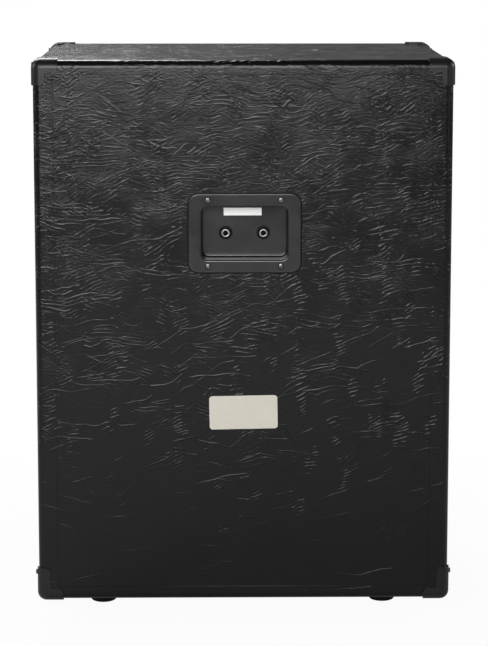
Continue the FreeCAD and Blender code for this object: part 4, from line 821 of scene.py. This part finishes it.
@dataclass
class Covering:
    """The vinyl on the box: one wrap with its flaps turned onto the back, and one sheet between them."""

    half_width: float = 260 * MM
    half_depth: float = 180 * MM
    low: float = 25 * MM
    high: float = 711 * MM
    round: float = 9.5 * MM
    lip_half: float = 240 * MM
    lip_border: float = 20 * MM
    lip_depth: float = 36 * MM
    lip_round: float = 4 * MM
    sheet_half: float = 235.2 * MM
    sheet_low: float = 42.8 * MM
    sheet_high: float = 693.2 * MM
    seam_round: float = 0.35 * MM
    thick: float = 1 * MM
    handle_y: float = -20 * MM
    handle_z: float = 408 * MM
    handle_half: Pair = (65 * MM, 45 * MM)
    plate_x: float = -1.5 * MM
    plate_z: float = 496 * MM
    plate_half: Pair = (62 * MM, 42 * MM)

    def build(self) -> None:
        """Builds both skins."""
        self.build_wrap()
        self.build_back_sheet()

    def build_wrap(self) -> None:
        """Builds the wrap: a rounded box with a recessed lip in front, open at the handles and behind."""
        bm = bmesh.new()
        middle = Vector((0, 0, (self.high + self.low) / 2))
        size = Vector((2 * self.half_width, 2 * self.half_depth, self.high - self.low))
        bmesh.ops.create_cube(bm, size=1.0, matrix=Matrix.LocRotScale(middle, None, size))
        rounded(bm, bm.edges, self.round, 8)
        for side in (-1, 1):
            window(bm, (side, 0, 0), Vector((0, self.handle_y, self.handle_z)),
                   Vector((0, *self.handle_half)))
        window(bm, (0, 1, 0), middle, Vector((self.sheet_half, 0, (self.sheet_high - self.sheet_low) / 2)))
        lip = window(bm, (0, -1, 0), middle, Vector((
            self.lip_half, 0, (self.high - self.low) / 2 - self.lip_border)))
        extruded(bm, lip, (0, self.lip_depth, 0))
        rounded(bm, lip, self.lip_round, 4)
        self.finish_skin(bm, Piece("vinyl_covering", "cabinet", "vinyl", ("vinyl_wrap",)))

    def build_back_sheet(self) -> None:
        """Builds the sheet on the back, open behind the jack plate."""
        bm = bmesh.new()
        middle = Vector((0, self.half_depth, (self.sheet_high + self.sheet_low) / 2))
        upright(bm, middle, (self.sheet_half, (self.sheet_high - self.sheet_low) / 2), 1)
        window(bm, (0, 1, 0), Vector((self.plate_x, self.half_depth, self.plate_z)),
               Vector((self.plate_half[0], 0, self.plate_half[1])))
        self.finish_skin(bm, Piece("vinyl_back_covering", "cabinet", "vinyl", ("vinyl_back_sheet",)))

    def finish_skin(self, bm: Mesh, piece: Piece) -> None:
        """Gives a skin its thickness inwards, rounds its seam, lays it out and finishes it.

        Args:
            bm: Mesh of the skin, an open sheet.
            piece: The piece that it becomes.
        """
        bmesh.ops.recalc_face_normals(bm, faces=bm.faces[:])
        bmesh.ops.solidify(bm, geom=bm.faces[:], thickness=self.thick)
        self.round_seam(bm)
        self.lay_flat(bm)
        piece.finish(bm)

    def round_seam(self, bm: Mesh) -> None:
        """Rounds the outer edge along the seam on the back, where the vinyl turns over the board's edge.

        Args:
            bm: Mesh of the skin.
        """
        seam = []
        for edge in bm.edges:
            ends = [vert.co for vert in edge.verts]
            upright_edge = all(abs(abs(end.x) - self.sheet_half) < NEAR for end in ends)
            level = all(min(abs(end.z - self.sheet_low), abs(end.z - self.sheet_high)) < NEAR for end in ends)
            if (upright_edge or level) and all(end.y > self.half_depth - NEAR for end in ends):
                seam.append(edge)
        rounded(bm, seam, self.seam_round, 3)

    def lay_flat(self, bm: Mesh) -> None:
        """Lays the covering out flat: each face's place on the roll, in metres, goes into its UV map.

        Args:
            bm: Mesh of one skin.
        """
        bm.normal_update()
        flat = bm.loops.layers.uv.new(COVER_UV)
        for face in bm.faces:
            way = max(range(3), key=lambda i: abs(face.normal[i]))
            for loop in face.loops:
                x, y, z = loop.vert.co
                beyond = self.half_depth - y
                if way == 0:
                    spot = (math.copysign(self.half_width + beyond, x), z)
                elif way == 2:
                    spot = (x, self.high + beyond if face.normal.z > 0 else self.low - beyond)
                else:
                    spot = (x, z) if face.normal.y > 0 else (x + 2 * (self.half_width + self.half_depth), z)
                loop[flat].uv = spot


@dataclass
class JackPlate:
    """The moulded plate on the back: a flange and a drafted dish with rounded lip and floor, and a black ring
    under its edge as painted shadow.
    """

    middle: Pair = (-1.5 * MM, 496 * MM)
    face: float = 181.8 * MM
    half: Pair = (70 * MM, 49.5 * MM)
    corner: float = 12.7 * MM
    thick: float = 1.8 * MM
    wall: float = 1.4 * MM
    rim: float = 1.0 * MM
    mouth: Pair = (53.9 * MM, 33.7 * MM)
    mouth_corner: float = 8 * MM
    deep: float = 26 * MM
    draft: float = 0.8 * MM
    lip: float = 1.8 * MM
    fillet: float = 1.8 * MM
    # Flat border round the mouth, in lips, and round the floor, in fillets.
    mouth_border: float = 1.1
    floor_border: float = 0.4
    screw_half: Pair = (45.5 * MM, 41.5 * MM)
    # Holes for screws and jacks: radius at the face, radius at the end and depth.
    screw_sink: Triple = (4.0 * MM, 3.3 * MM, 1.8 * MM)
    jack_half: float = 23.65 * MM
    jack_drop: float = 2.5 * MM
    jack_hole: Triple = (6.05 * MM, 6.05 * MM, 2 * MM)
    hole_steps: int = 24
    # A black ring under the flange, painted shadow round the plate: how far it stands out from the vinyl and
    # how far it reaches past the flange.
    shadow_ring_thick: float = 0.4 * MM
    shadow_ring_reach: float = 1.5 * MM

    def build(self) -> None:
        """Builds the plate and a black ring under its edge, a painted shadow that shows as a dark line round
        it.
        """
        self.build_plate()
        bm = bmesh.new()
        self.build_flange(bm, self.shadow_ring_reach)
        bmesh.ops.translate(bm, vec=(self.middle[0], self.shadow_ring_thick - self.thick, self.middle[1]),
                            verts=bm.verts[:])
        bmesh.ops.recalc_face_normals(bm, faces=bm.faces[:])
        # The black ring is painted shadow, not a part of the plate.
        Piece("jack_plate_painted_shadow_ring", "cabinet", "jack_plastic", ()).finish(bm)

    def build_plate(self) -> None:
        """Builds the dish and the flange, then fills in the flat faces round their holes."""
        bm = bmesh.new()
        lip, floor = self.build_dish(bm)
        rim = self.build_flange(bm)
        screws = [(side * self.screw_half[0], self.face, end * self.screw_half[1])
                  for side in (-1, 1) for end in (-1, 1)]
        jacks = [(side * self.jack_half, self.face - self.deep, -self.jack_drop) for side in (-1, 1)]
        for border, spots, sink in ((lip + rim, screws, self.screw_sink), (floor, jacks, self.jack_hole)):
            holes = [self.build_hole(bm, spot, sink) for spot in spots]
            bmesh.ops.triangle_fill(bm, edges=sum(holes, border), normal=(0, 1, 0), use_beauty=True)
        bmesh.ops.recalc_face_normals(bm, faces=bm.faces[:])
        if largest(bm.faces).normal.y < 0:
            bmesh.ops.reverse_faces(bm, faces=bm.faces[:])
        bmesh.ops.solidify(bm, geom=bm.faces[:], thickness=self.wall)
        bmesh.ops.translate(bm, vec=(self.middle[0], 0, self.middle[1]), verts=bm.verts[:])
        Piece("moulded_jack_plate", "cabinet", "plate_plastic", ("jack_plate",)).finish(bm)

    def build_face(self, bm: Mesh, half: Pair, corner: float) -> Face:
        """Makes a rectangle with rounded corners on the plate's face.

        Args:
            bm: Mesh that takes the face.
            half: Half width and half height.
            corner: Radius of the corners.

        Returns:
            The new face, which looks along +Y.
        """
        square = upright(bm, Vector((0, self.face, 0)), half, 1)
        corners = rounded(bm, square, corner, 8, "VERTICES")
        return largest(face for vert in corners for face in vert.link_faces)

    def build_dish(self, bm: Mesh) -> tuple[list[Edge], list[Edge]]:
        """Builds the dish with a narrow border round its mouth.

        Args:
            bm: Mesh that takes the dish.

        Returns:
            The outer edges of the border and the edges of the open floor.
        """
        mouth = self.build_face(bm, self.mouth, self.mouth_corner)
        sunk = bmesh.ops.extrude_face_region(bm, geom=[mouth])["geom"]
        floor = next(item for item in sunk if isinstance(item, Face))
        edges = opened(bm, mouth)
        wide, tall = self.mouth
        bmesh.ops.scale(bm, vec=(1 - self.draft / wide, 1, 1 - self.draft / tall), verts=floor.verts)
        bmesh.ops.translate(bm, vec=(0, -self.deep, 0), verts=floor.verts)
        border = self.mouth_border * self.lip
        outside = extruded(bm, edges, (0, 0, 0))
        bmesh.ops.scale(bm, vec=(1 + border / wide, 1, 1 + border / tall), verts=outside)
        outer = [edge for edge in bm.edges if all(end in outside for end in edge.verts)]
        rounded(bm, edges, self.lip, 5)
        rounded(bm, floor.edges, self.fillet, 5)
        bm.normal_update()
        floor = min((face for face in bm.faces if abs(face.normal.y) > LOOKING and len(face.verts) > 4),
                    key=lambda face: face.calc_center_median().y)
        bmesh.ops.inset_region(bm, faces=[floor], thickness=self.floor_border * self.fillet,
                               use_boundary=True)
        return outer, opened(bm, floor)

    def build_flange(self, bm: Mesh, grow: float = 0.0) -> list[Edge]:
        """Builds the flange's rounded rim and its edge down to the vinyl.

        Args:
            bm: Mesh that takes the rim.
            grow: How far the outline lies outside the flange's own.

        Returns:
            The inner edges of the rim.
        """
        flange = self.build_face(bm, (self.half[0] + grow, self.half[1] + grow), self.corner + grow)
        edges = list(flange.edges)
        extruded(bm, edges, (0, -self.thick, 0))
        bmesh.ops.inset_region(bm, faces=[flange], thickness=2 * self.rim + grow, use_boundary=True)
        inner = opened(bm, flange)
        rounded(bm, edges, self.rim, 3)
        return inner

    def build_hole(self, bm: Mesh, spot: Triple, sink: Triple) -> list[Edge]:
        """Builds the wall of a round hole that goes in from the plate's face.

        Args:
            bm: Mesh that takes the hole.
            spot: Middle of the hole, from the plate's middle.
            sink: Radius at the face, radius at the end and depth.

        Returns:
            The edges of the hole at the face.
        """
        wide, narrow, deep = sink
        ring = bmesh.ops.create_circle(bm, segments=self.hole_steps, radius=wide, matrix=Matrix.LocRotScale(
            Vector(spot), Matrix.Rotation(-math.pi / 2, 3, "X"), None))["verts"]
        edges = [edge for edge in bm.edges if all(end in ring for end in edge.verts)]
        far = extruded(bm, edges, (0, -deep, 0))
        bmesh.ops.scale(bm, vec=(narrow / wide, 1, narrow / wide), verts=far,
                        space=Matrix.Translation(-Vector(spot)))
        for edge in edges:
            edge.smooth = False
        return edges


@dataclass
class OvalHeadScrews:
    """The black screws that show: oval heads with a cross recess, on plain tapered shanks."""

    nodes: tuple[str, ...] = ("jack_plate_screws", "corner_screws", "handle_screws")
    dome: float = 0.8 * MM
    edge: float = 0.3 * MM
    recess: float = 0.9 * MM
    # Shares of the head's radius: the cross's hub and reach, the dome's other rings, and the shank.
    hub: float = 0.2
    reach: float = 0.62
    rings: Pair = (0.42, 0.85)
    shank: Pair = (0.5, 0.45)
    steps: int = 24

    def build(self) -> None:
        """Builds each node's screws where its CAD screws are."""
        for name in self.nodes:
            bm = bmesh.new()
            for low, high in solid_boxes(name):
                self.build_screw(bm, low, high)
            Piece(f"oval_head_{name}", "cabinet", "black_screw", (name,)).finish(bm)

    def build_screw(self, bm: Mesh, low: Vector, high: Vector) -> None:
        """Spins one screw from its outline and sinks the cross into its head.

        Args:
            bm: Mesh that takes the screw.
            low: Lowest corner of the CAD screw.
            high: Highest corner of the CAD screw.
        """
        middle = (low + high) / 2
        size = high - low
        way = max(range(3), key=lambda i: size[i])
        out, side = Vector(), Vector()
        out[way] = math.copysign(1.0, middle[way])
        side[(way + 1) % 3] = 1.0
        radius = size[(way + 1) % 3] / 2
        top = middle + out * size[way] / 2
        thick, thin = (share * radius for share in self.shank)
        inner, outer = self.rings
        outline = [(share * radius, self.dome * share ** 2)
                   for share in (0.0, self.hub, inner, self.reach, outer, 1.0)]
        outline += [(radius, self.dome + self.edge), (thick, self.dome + thick), (thin, size[way] - radius),
                    (0.0, size[way])]
        made = spun(bm, [top + side * across - out * deep for across, deep in outline], top, out, self.steps)
        head = [face for face in made if face.normal.dot(out) > 0.5]
        self.sink_cross(bm, head, top, side, out * self.recess)

    def sink_cross(self, bm: Mesh, head: list[Face], top: Vector, side: Vector, down: Vector) -> None:
        """Sinks a cross into a head.

        Args:
            bm: Mesh that holds the screw.
            head: Faces of the head's dome.
            top: Middle of the dome.
            side: Way that one arm of the cross points.
            down: Depth of the cross along the screw, against which it sinks.
        """
        radius = max((vert.co - top).length for face in head for vert in face.verts)
        cross = []
        for face in head:
            spoke = face.calc_center_median() - top
            turn = math.degrees(spoke.angle(side)) % 90
            narrow = min(turn, 90 - turn) < 360 / self.steps
            if spoke.length < self.hub * radius or (narrow and spoke.length < self.reach * radius):
                cross.append(face)
        sunk = bmesh.ops.extrude_face_region(bm, geom=cross)["geom"]
        bmesh.ops.translate(bm, vec=-down, verts=[item for item in sunk if isinstance(item, Vert)])
        bmesh.ops.delete(bm, geom=cross, context="FACES_ONLY")


@dataclass
class GrilleCloth:
    """The cloth stretched over the grille frame, with a skirt turned back round its edges."""

    half_width: float = 235.6 * MM
    low: float = 49.4 * MM
    high: float = 686.6 * MM
    front: float = -166.8 * MM
    corner: float = 6 * MM
    skirt: float = 9 * MM
    rim: float = 2.2 * MM
    thick: float = 0.6 * MM

    def build(self) -> None:
        bm = bmesh.new()
        tall = (self.high - self.low) / 2
        upright(bm, Vector((0, self.front, self.low + tall)), (self.half_width, tall), -1)
        rounded(bm, bm.verts, self.corner, 5, "VERTICES")
        border = [edge for edge in bm.edges if edge.is_boundary]
        extruded(bm, border, (0, self.skirt, 0))
        rounded(bm, border, self.rim, 3)
        bmesh.ops.recalc_face_normals(bm, faces=bm.faces[:])
        if facing(bm, (0, -1, 0)).calc_area() < self.half_width * tall:
            bmesh.ops.reverse_faces(bm, faces=bm.faces[:])
        cloth = Piece("stretched_grille_cloth", "grille", "grille_weave", ("grille_cloth",)).finish(bm)
        solid = cloth.modifiers.new("thickness", "SOLIDIFY")
        solid.thickness = self.thick
        solid.offset = -1.0


@dataclass
class HandleGrips:
    """The ribbed rubber sleeves on the two handle bails."""

    ribs: int = 9
    groove: float = 1.1 * MM
    steps: int = 40
    # The bore's share of the radius, the plain end, and the chamfer there: how far in and how far down.
    bore: float = 0.46
    end: float = 3 * MM
    chamfer: tuple[Pair, ...] = ((0.0, 2 * MM), (0.8 * MM, 0.6 * MM))
    # Shares of a rib's pitch where its top ends, its groove starts and its groove ends.
    profile: Triple = (0.62, 0.72, 0.9)

    def build(self) -> None:
        """Builds a sleeve on each bail."""
        for side in ("left", "right"):
            self.build_sleeve(side)

    def build_sleeve(self, side: str) -> None:
        """Spins one ribbed sleeve round its bail's cross rod.

        Args:
            side: Name of the side, as in its nodes.
        """
        low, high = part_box(f"{side}_handle_grip")
        middle = (low + high) / 2
        radius = (high.x - low.x) / 2
        length = high.y - low.y
        inner = radius * self.bore
        outline = [(0.0, inner)] + [(across, radius - down) for across, down in self.chamfer]
        pitch = (length - 2 * self.end) / self.ribs
        top, start, stop = (share * pitch for share in self.profile)
        for rib in range(self.ribs):
            foot = self.end + rib * pitch
            outline += [(foot, radius), (foot + top, radius), (foot + start, radius - self.groove),
                        (foot + stop, radius - self.groove)]
        outline += [(length - across, radius - down) for across, down in reversed(self.chamfer)]
        outline.append((length, inner))
        bm = bmesh.new()
        spots = [Vector((middle.x + out, low.y + along, middle.z)) for along, out in outline]
        spun(bm, spots, middle, Vector((0, 1, 0)), self.steps)
        Piece(f"{side}_ribbed_grip", f"{side}_bail", "grip_rubber", (f"{side}_handle_grip",)).finish(bm)


@dataclass
class GrillePads:
    """The hook and loop pads that hold the grille to the baffle."""

    pitch: float = 3.4 * MM
    backing: float = 0.8 * MM
    stagger: float = 0.25
    # Radius of a hook's or a loop's stub at its foot and at its head, and its sides.
    hook: Pair = (0.9 * MM, 0.5 * MM)
    loop: Pair = (1.5 * MM, 0.9 * MM)
    sides: int = 6

    def build(self) -> None:
        """Builds the hooks on the baffle and the loops on the grille."""
        self.build_half(Pile.HOOK, "cabinet")
        self.build_half(Pile.LOOP, "grille")

    def build_half(self, pile: Pile, body: str) -> None:
        """Builds one half of every pad from its CAD pads' places.

        Args:
            pile: Which half it is.
            body: Body that the half rides on.
        """
        name = f"{pile.value}_pads"
        bm = bmesh.new()
        for low, high in solid_boxes(name):
            self.build_pad(bm, pile, low, high)
        Piece(f"{pile.value}_tape", body, "hook_loop", (name,)).finish(bm, smooth=False)

    def build_pad(self, bm: Mesh, pile: Pile, low: Vector, high: Vector) -> None:
        """Builds one pad: a thin backing with rows of hooks or loops on it.

        Args:
            bm: Mesh that takes the pad.
            pile: Which half it is.
            low: Lowest corner of the pad.
            high: Highest corner of the pad.
        """
        back, tip = (high.y, low.y) if pile is Pile.HOOK else (low.y, high.y)
        foot, head = self.hook if pile is Pile.HOOK else self.loop
        way = math.copysign(1.0, tip - back)
        size = high - low
        middle = (low + high) / 2
        bmesh.ops.create_cube(bm, size=1.0, matrix=Matrix.LocRotScale(
            Vector((middle.x, back + way * self.backing / 2, middle.z)), None,
            Vector((size.x, self.backing, size.z))))
        rise = abs(tip - back) - self.backing
        depth = back + way * (self.backing + rise / 2)
        rows, files = int(size.z / self.pitch), int(size.x / self.pitch)
        turn = Matrix.Rotation(-way * math.pi / 2, 3, "X")
        for row in range(rows):
            shift = 0.5 + (self.stagger if row % 2 else -self.stagger)
            for file in range(files):
                spot = Vector((low.x + (file + shift) * size.x / files, depth,
                               low.z + (row + 0.5) * size.z / rows))
                bmesh.ops.create_cone(bm, cap_ends=True, segments=self.sides, radius1=foot, radius2=head,
                                      depth=rise, matrix=Matrix.LocRotScale(spot, turn, None))


@dataclass
class HardParts:
    """The rigid CAD nodes that stay in view, each dressed by its slot and softened where edges show."""

    soft_edges: tuple[tuple[str, float], ...] = (
        ("upper_rear_corners", 0.8), ("upper_front_corners", 0.8), ("lower_rear_corners", 0.8),
        ("lower_front_corners", 0.8), ("left_handle_dish", 0.9), ("right_handle_dish", 0.9),
        ("feet", 1.5), ("jack_nuts", 0.5), ("input_jack_ferrule", 0.85), ("through_jack_ferrule", 0.85),
    )
    # Angles in degrees: below the first a face is flat, above the second an edge is sharp.
    flat: float = 0.5
    sharp: float = 38.0

    def dress(self) -> None:
        """Gives every CAD node its finish, and the nodes with seen edges a small round."""
        for row in frame["record"]["subparts"]:
            part = frame["nodes"][row["node"]]
            part.data.materials.clear()
            part.data.materials.append(FINISHES[row["material_slot"]].material())
            LOG.info("%s: %s", row["node"], row["material_slot"])
        for name, width in self.soft_edges:
            self.soften(frame["nodes"][name], width * MM)

    def soften(self, part: bpy.types.Object, width: float) -> None:
        """Rounds the sharp edges of one node with modifiers.

        Args:
            part: Object of the node.
            width: Width of the round, in metres.
        """
        part.modifiers.new("join triangles", "WELD").merge_threshold = TOUCH
        plane = part.modifiers.new("flat faces", "DECIMATE")
        plane.decimate_type = "DISSOLVE"
        plane.angle_limit = math.radians(self.flat)
        edge = part.modifiers.new("edges", "BEVEL")
        edge.width = width
        edge.segments = 3
        edge.limit_method = "ANGLE"
        edge.angle_limit = math.radians(self.sharp)
        part.modifiers.new("even shading", "WEIGHTED_NORMAL").keep_sharp = True


@dataclass(frozen=True)
class SoftBox:
    """One soft box: where it hangs and aims, in metres, its width and height, and its power in watts."""

    name: str
    at: Triple
    aim: Triple
    size: Pair
    power: float

    def hang(self) -> None:
        """Hangs the soft box, out of the camera's sight."""
        lamp = bpy.data.lights.new(self.name, "AREA")
        lamp.shape = "RECTANGLE"
        lamp.size, lamp.size_y = self.size
        lamp.energy = self.power
        made = placed(self.name, lamp)
        made.location = self.at
        made.rotation_euler = (Vector(self.aim) - Vector(self.at)).to_track_quat("-Z", "Y").to_euler()
        made.visible_camera = False


@dataclass
class Studio:
    """Pale floor, soft boxes, surroundings and the camera at the photograph's viewing angle."""

    floor_half: float = 12.0
    # A large soft box behind and before the object, and narrower ones at its sides.
    boxes: tuple[SoftBox, ...] = (
        SoftBox("back_soft_box", (0.45, 3.0, 1.37), (0.0, 0.18, 0.75), (1.9, 1.4), 84.0),
        SoftBox("front_soft_box", (0.9, -2.3, 2.6), (0.0, -0.18, 0.3), (1.7, 1.7), 85.0),
        SoftBox("edge_strip_box", (-2.4, 1.9, 1.0), (-0.26, 0.18, 0.45), (0.35, 1.6), 5.0),
        SoftBox("left_strip_box", (3.0, -0.2, 1.5), (0.26, -0.1, 0.45), (1.2, 1.6), 32.0),
        SoftBox("right_strip_box", (-3.0, -0.2, 1.5), (-0.26, -0.1, 0.45), (1.2, 1.6), 32.0),
    )
    # How the surroundings' glow falls with height, and from the front to the back.
    rise: Quad = (0.02, 0.4, 1.0, 0.12)
    depth: Quad = (-0.2, 0.4, 0.2, 0.15)
    camera_at: Triple = (0.0325, 2.880, 0.8904)
    pitch: float = 8.039
    yaw: float = -0.704
    lens: float = 122.33
    sensor: float = 36.0
    shift_y: float = -0.155

    def build(self) -> None:
        """Builds the whole studio."""
        self.build_floor()
        for box in self.boxes:
            box.hang()
        self.build_surroundings()
        self.build_camera()
        bpy.context.scene.view_settings.view_transform = "Standard"

    def build_floor(self) -> None:
        """Builds the floor, which keeps the object's shadow near it."""
        bm = bmesh.new()
        bmesh.ops.create_grid(bm, x_segments=1, y_segments=1, size=self.floor_half)
        mesh = bpy.data.meshes.new("studio_floor")
        bm.to_mesh(mesh)
        bm.free()
        floor = placed("studio_floor", mesh)
        mesh.materials.append(PaperSweep("white_paper_sweep").material())

    def build_surroundings(self) -> None:
        """Builds the surroundings: white to the camera, and a dim studio in reflections, paler low down."""
        world = bpy.data.worlds.new("studio_surroundings")
        bpy.context.scene.world = world
        world.use_nodes = True
        tree = world.node_tree
        ground = tree.nodes["Background"]
        way = node(tree, "SeparateXYZ", {0: node(tree, "TexCoord").outputs["Generated"]}).outputs
        rise, depth = (node(tree, "MapRange", {"Value": way[axis], RANGE: span},
                            interpolation_type="SMOOTHSTEP").outputs[0]
                       for axis, span in (("Z", self.rise), ("Y", self.depth)))
        level = node(tree, "Math", {0: rise, 1: depth}, operation="MULTIPLY").outputs[0]
        seen = node(tree, "LightPath").outputs
        for ray in ("Is Camera Ray", "Is Transmission Ray"):
            level = node(tree, "Math", {0: level, 1: seen[ray]}, operation="MAXIMUM").outputs[0]
        tree.links.new(level, ground.inputs["Strength"])
        ground.inputs["Color"].default_value = (1, 1, 1, 1)

    def build_camera(self) -> None:
        """Builds the camera at the photograph's viewing angle."""
        lens = bpy.data.cameras.new("camera")
        lens.lens = self.lens
        lens.sensor_width = self.sensor
        lens.sensor_fit = "AUTO"
        lens.shift_y = self.shift_y
        made = placed("camera", lens)
        made.location = self.camera_at
        made.rotation_euler = (math.radians(90 - self.pitch), 0.0, math.radians(180 + self.yaw))
        bpy.context.scene.camera = made


def main() -> None:
    """Builds and dresses every piece in order."""
    logging.basicConfig(level=logging.INFO, format="%(name)s: %(message)s")
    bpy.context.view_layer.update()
    HardParts().dress()
    for assembly in (Covering(), JackPlate(), OvalHeadScrews(), GrilleCloth(), HandleGrips(), GrillePads(),
                     Studio()):
        assembly.build()
        LOG.info("%s is built", type(assembly).__name__)
    bpy.context.view_layer.update()


if __name__ == "__main__":
    main()
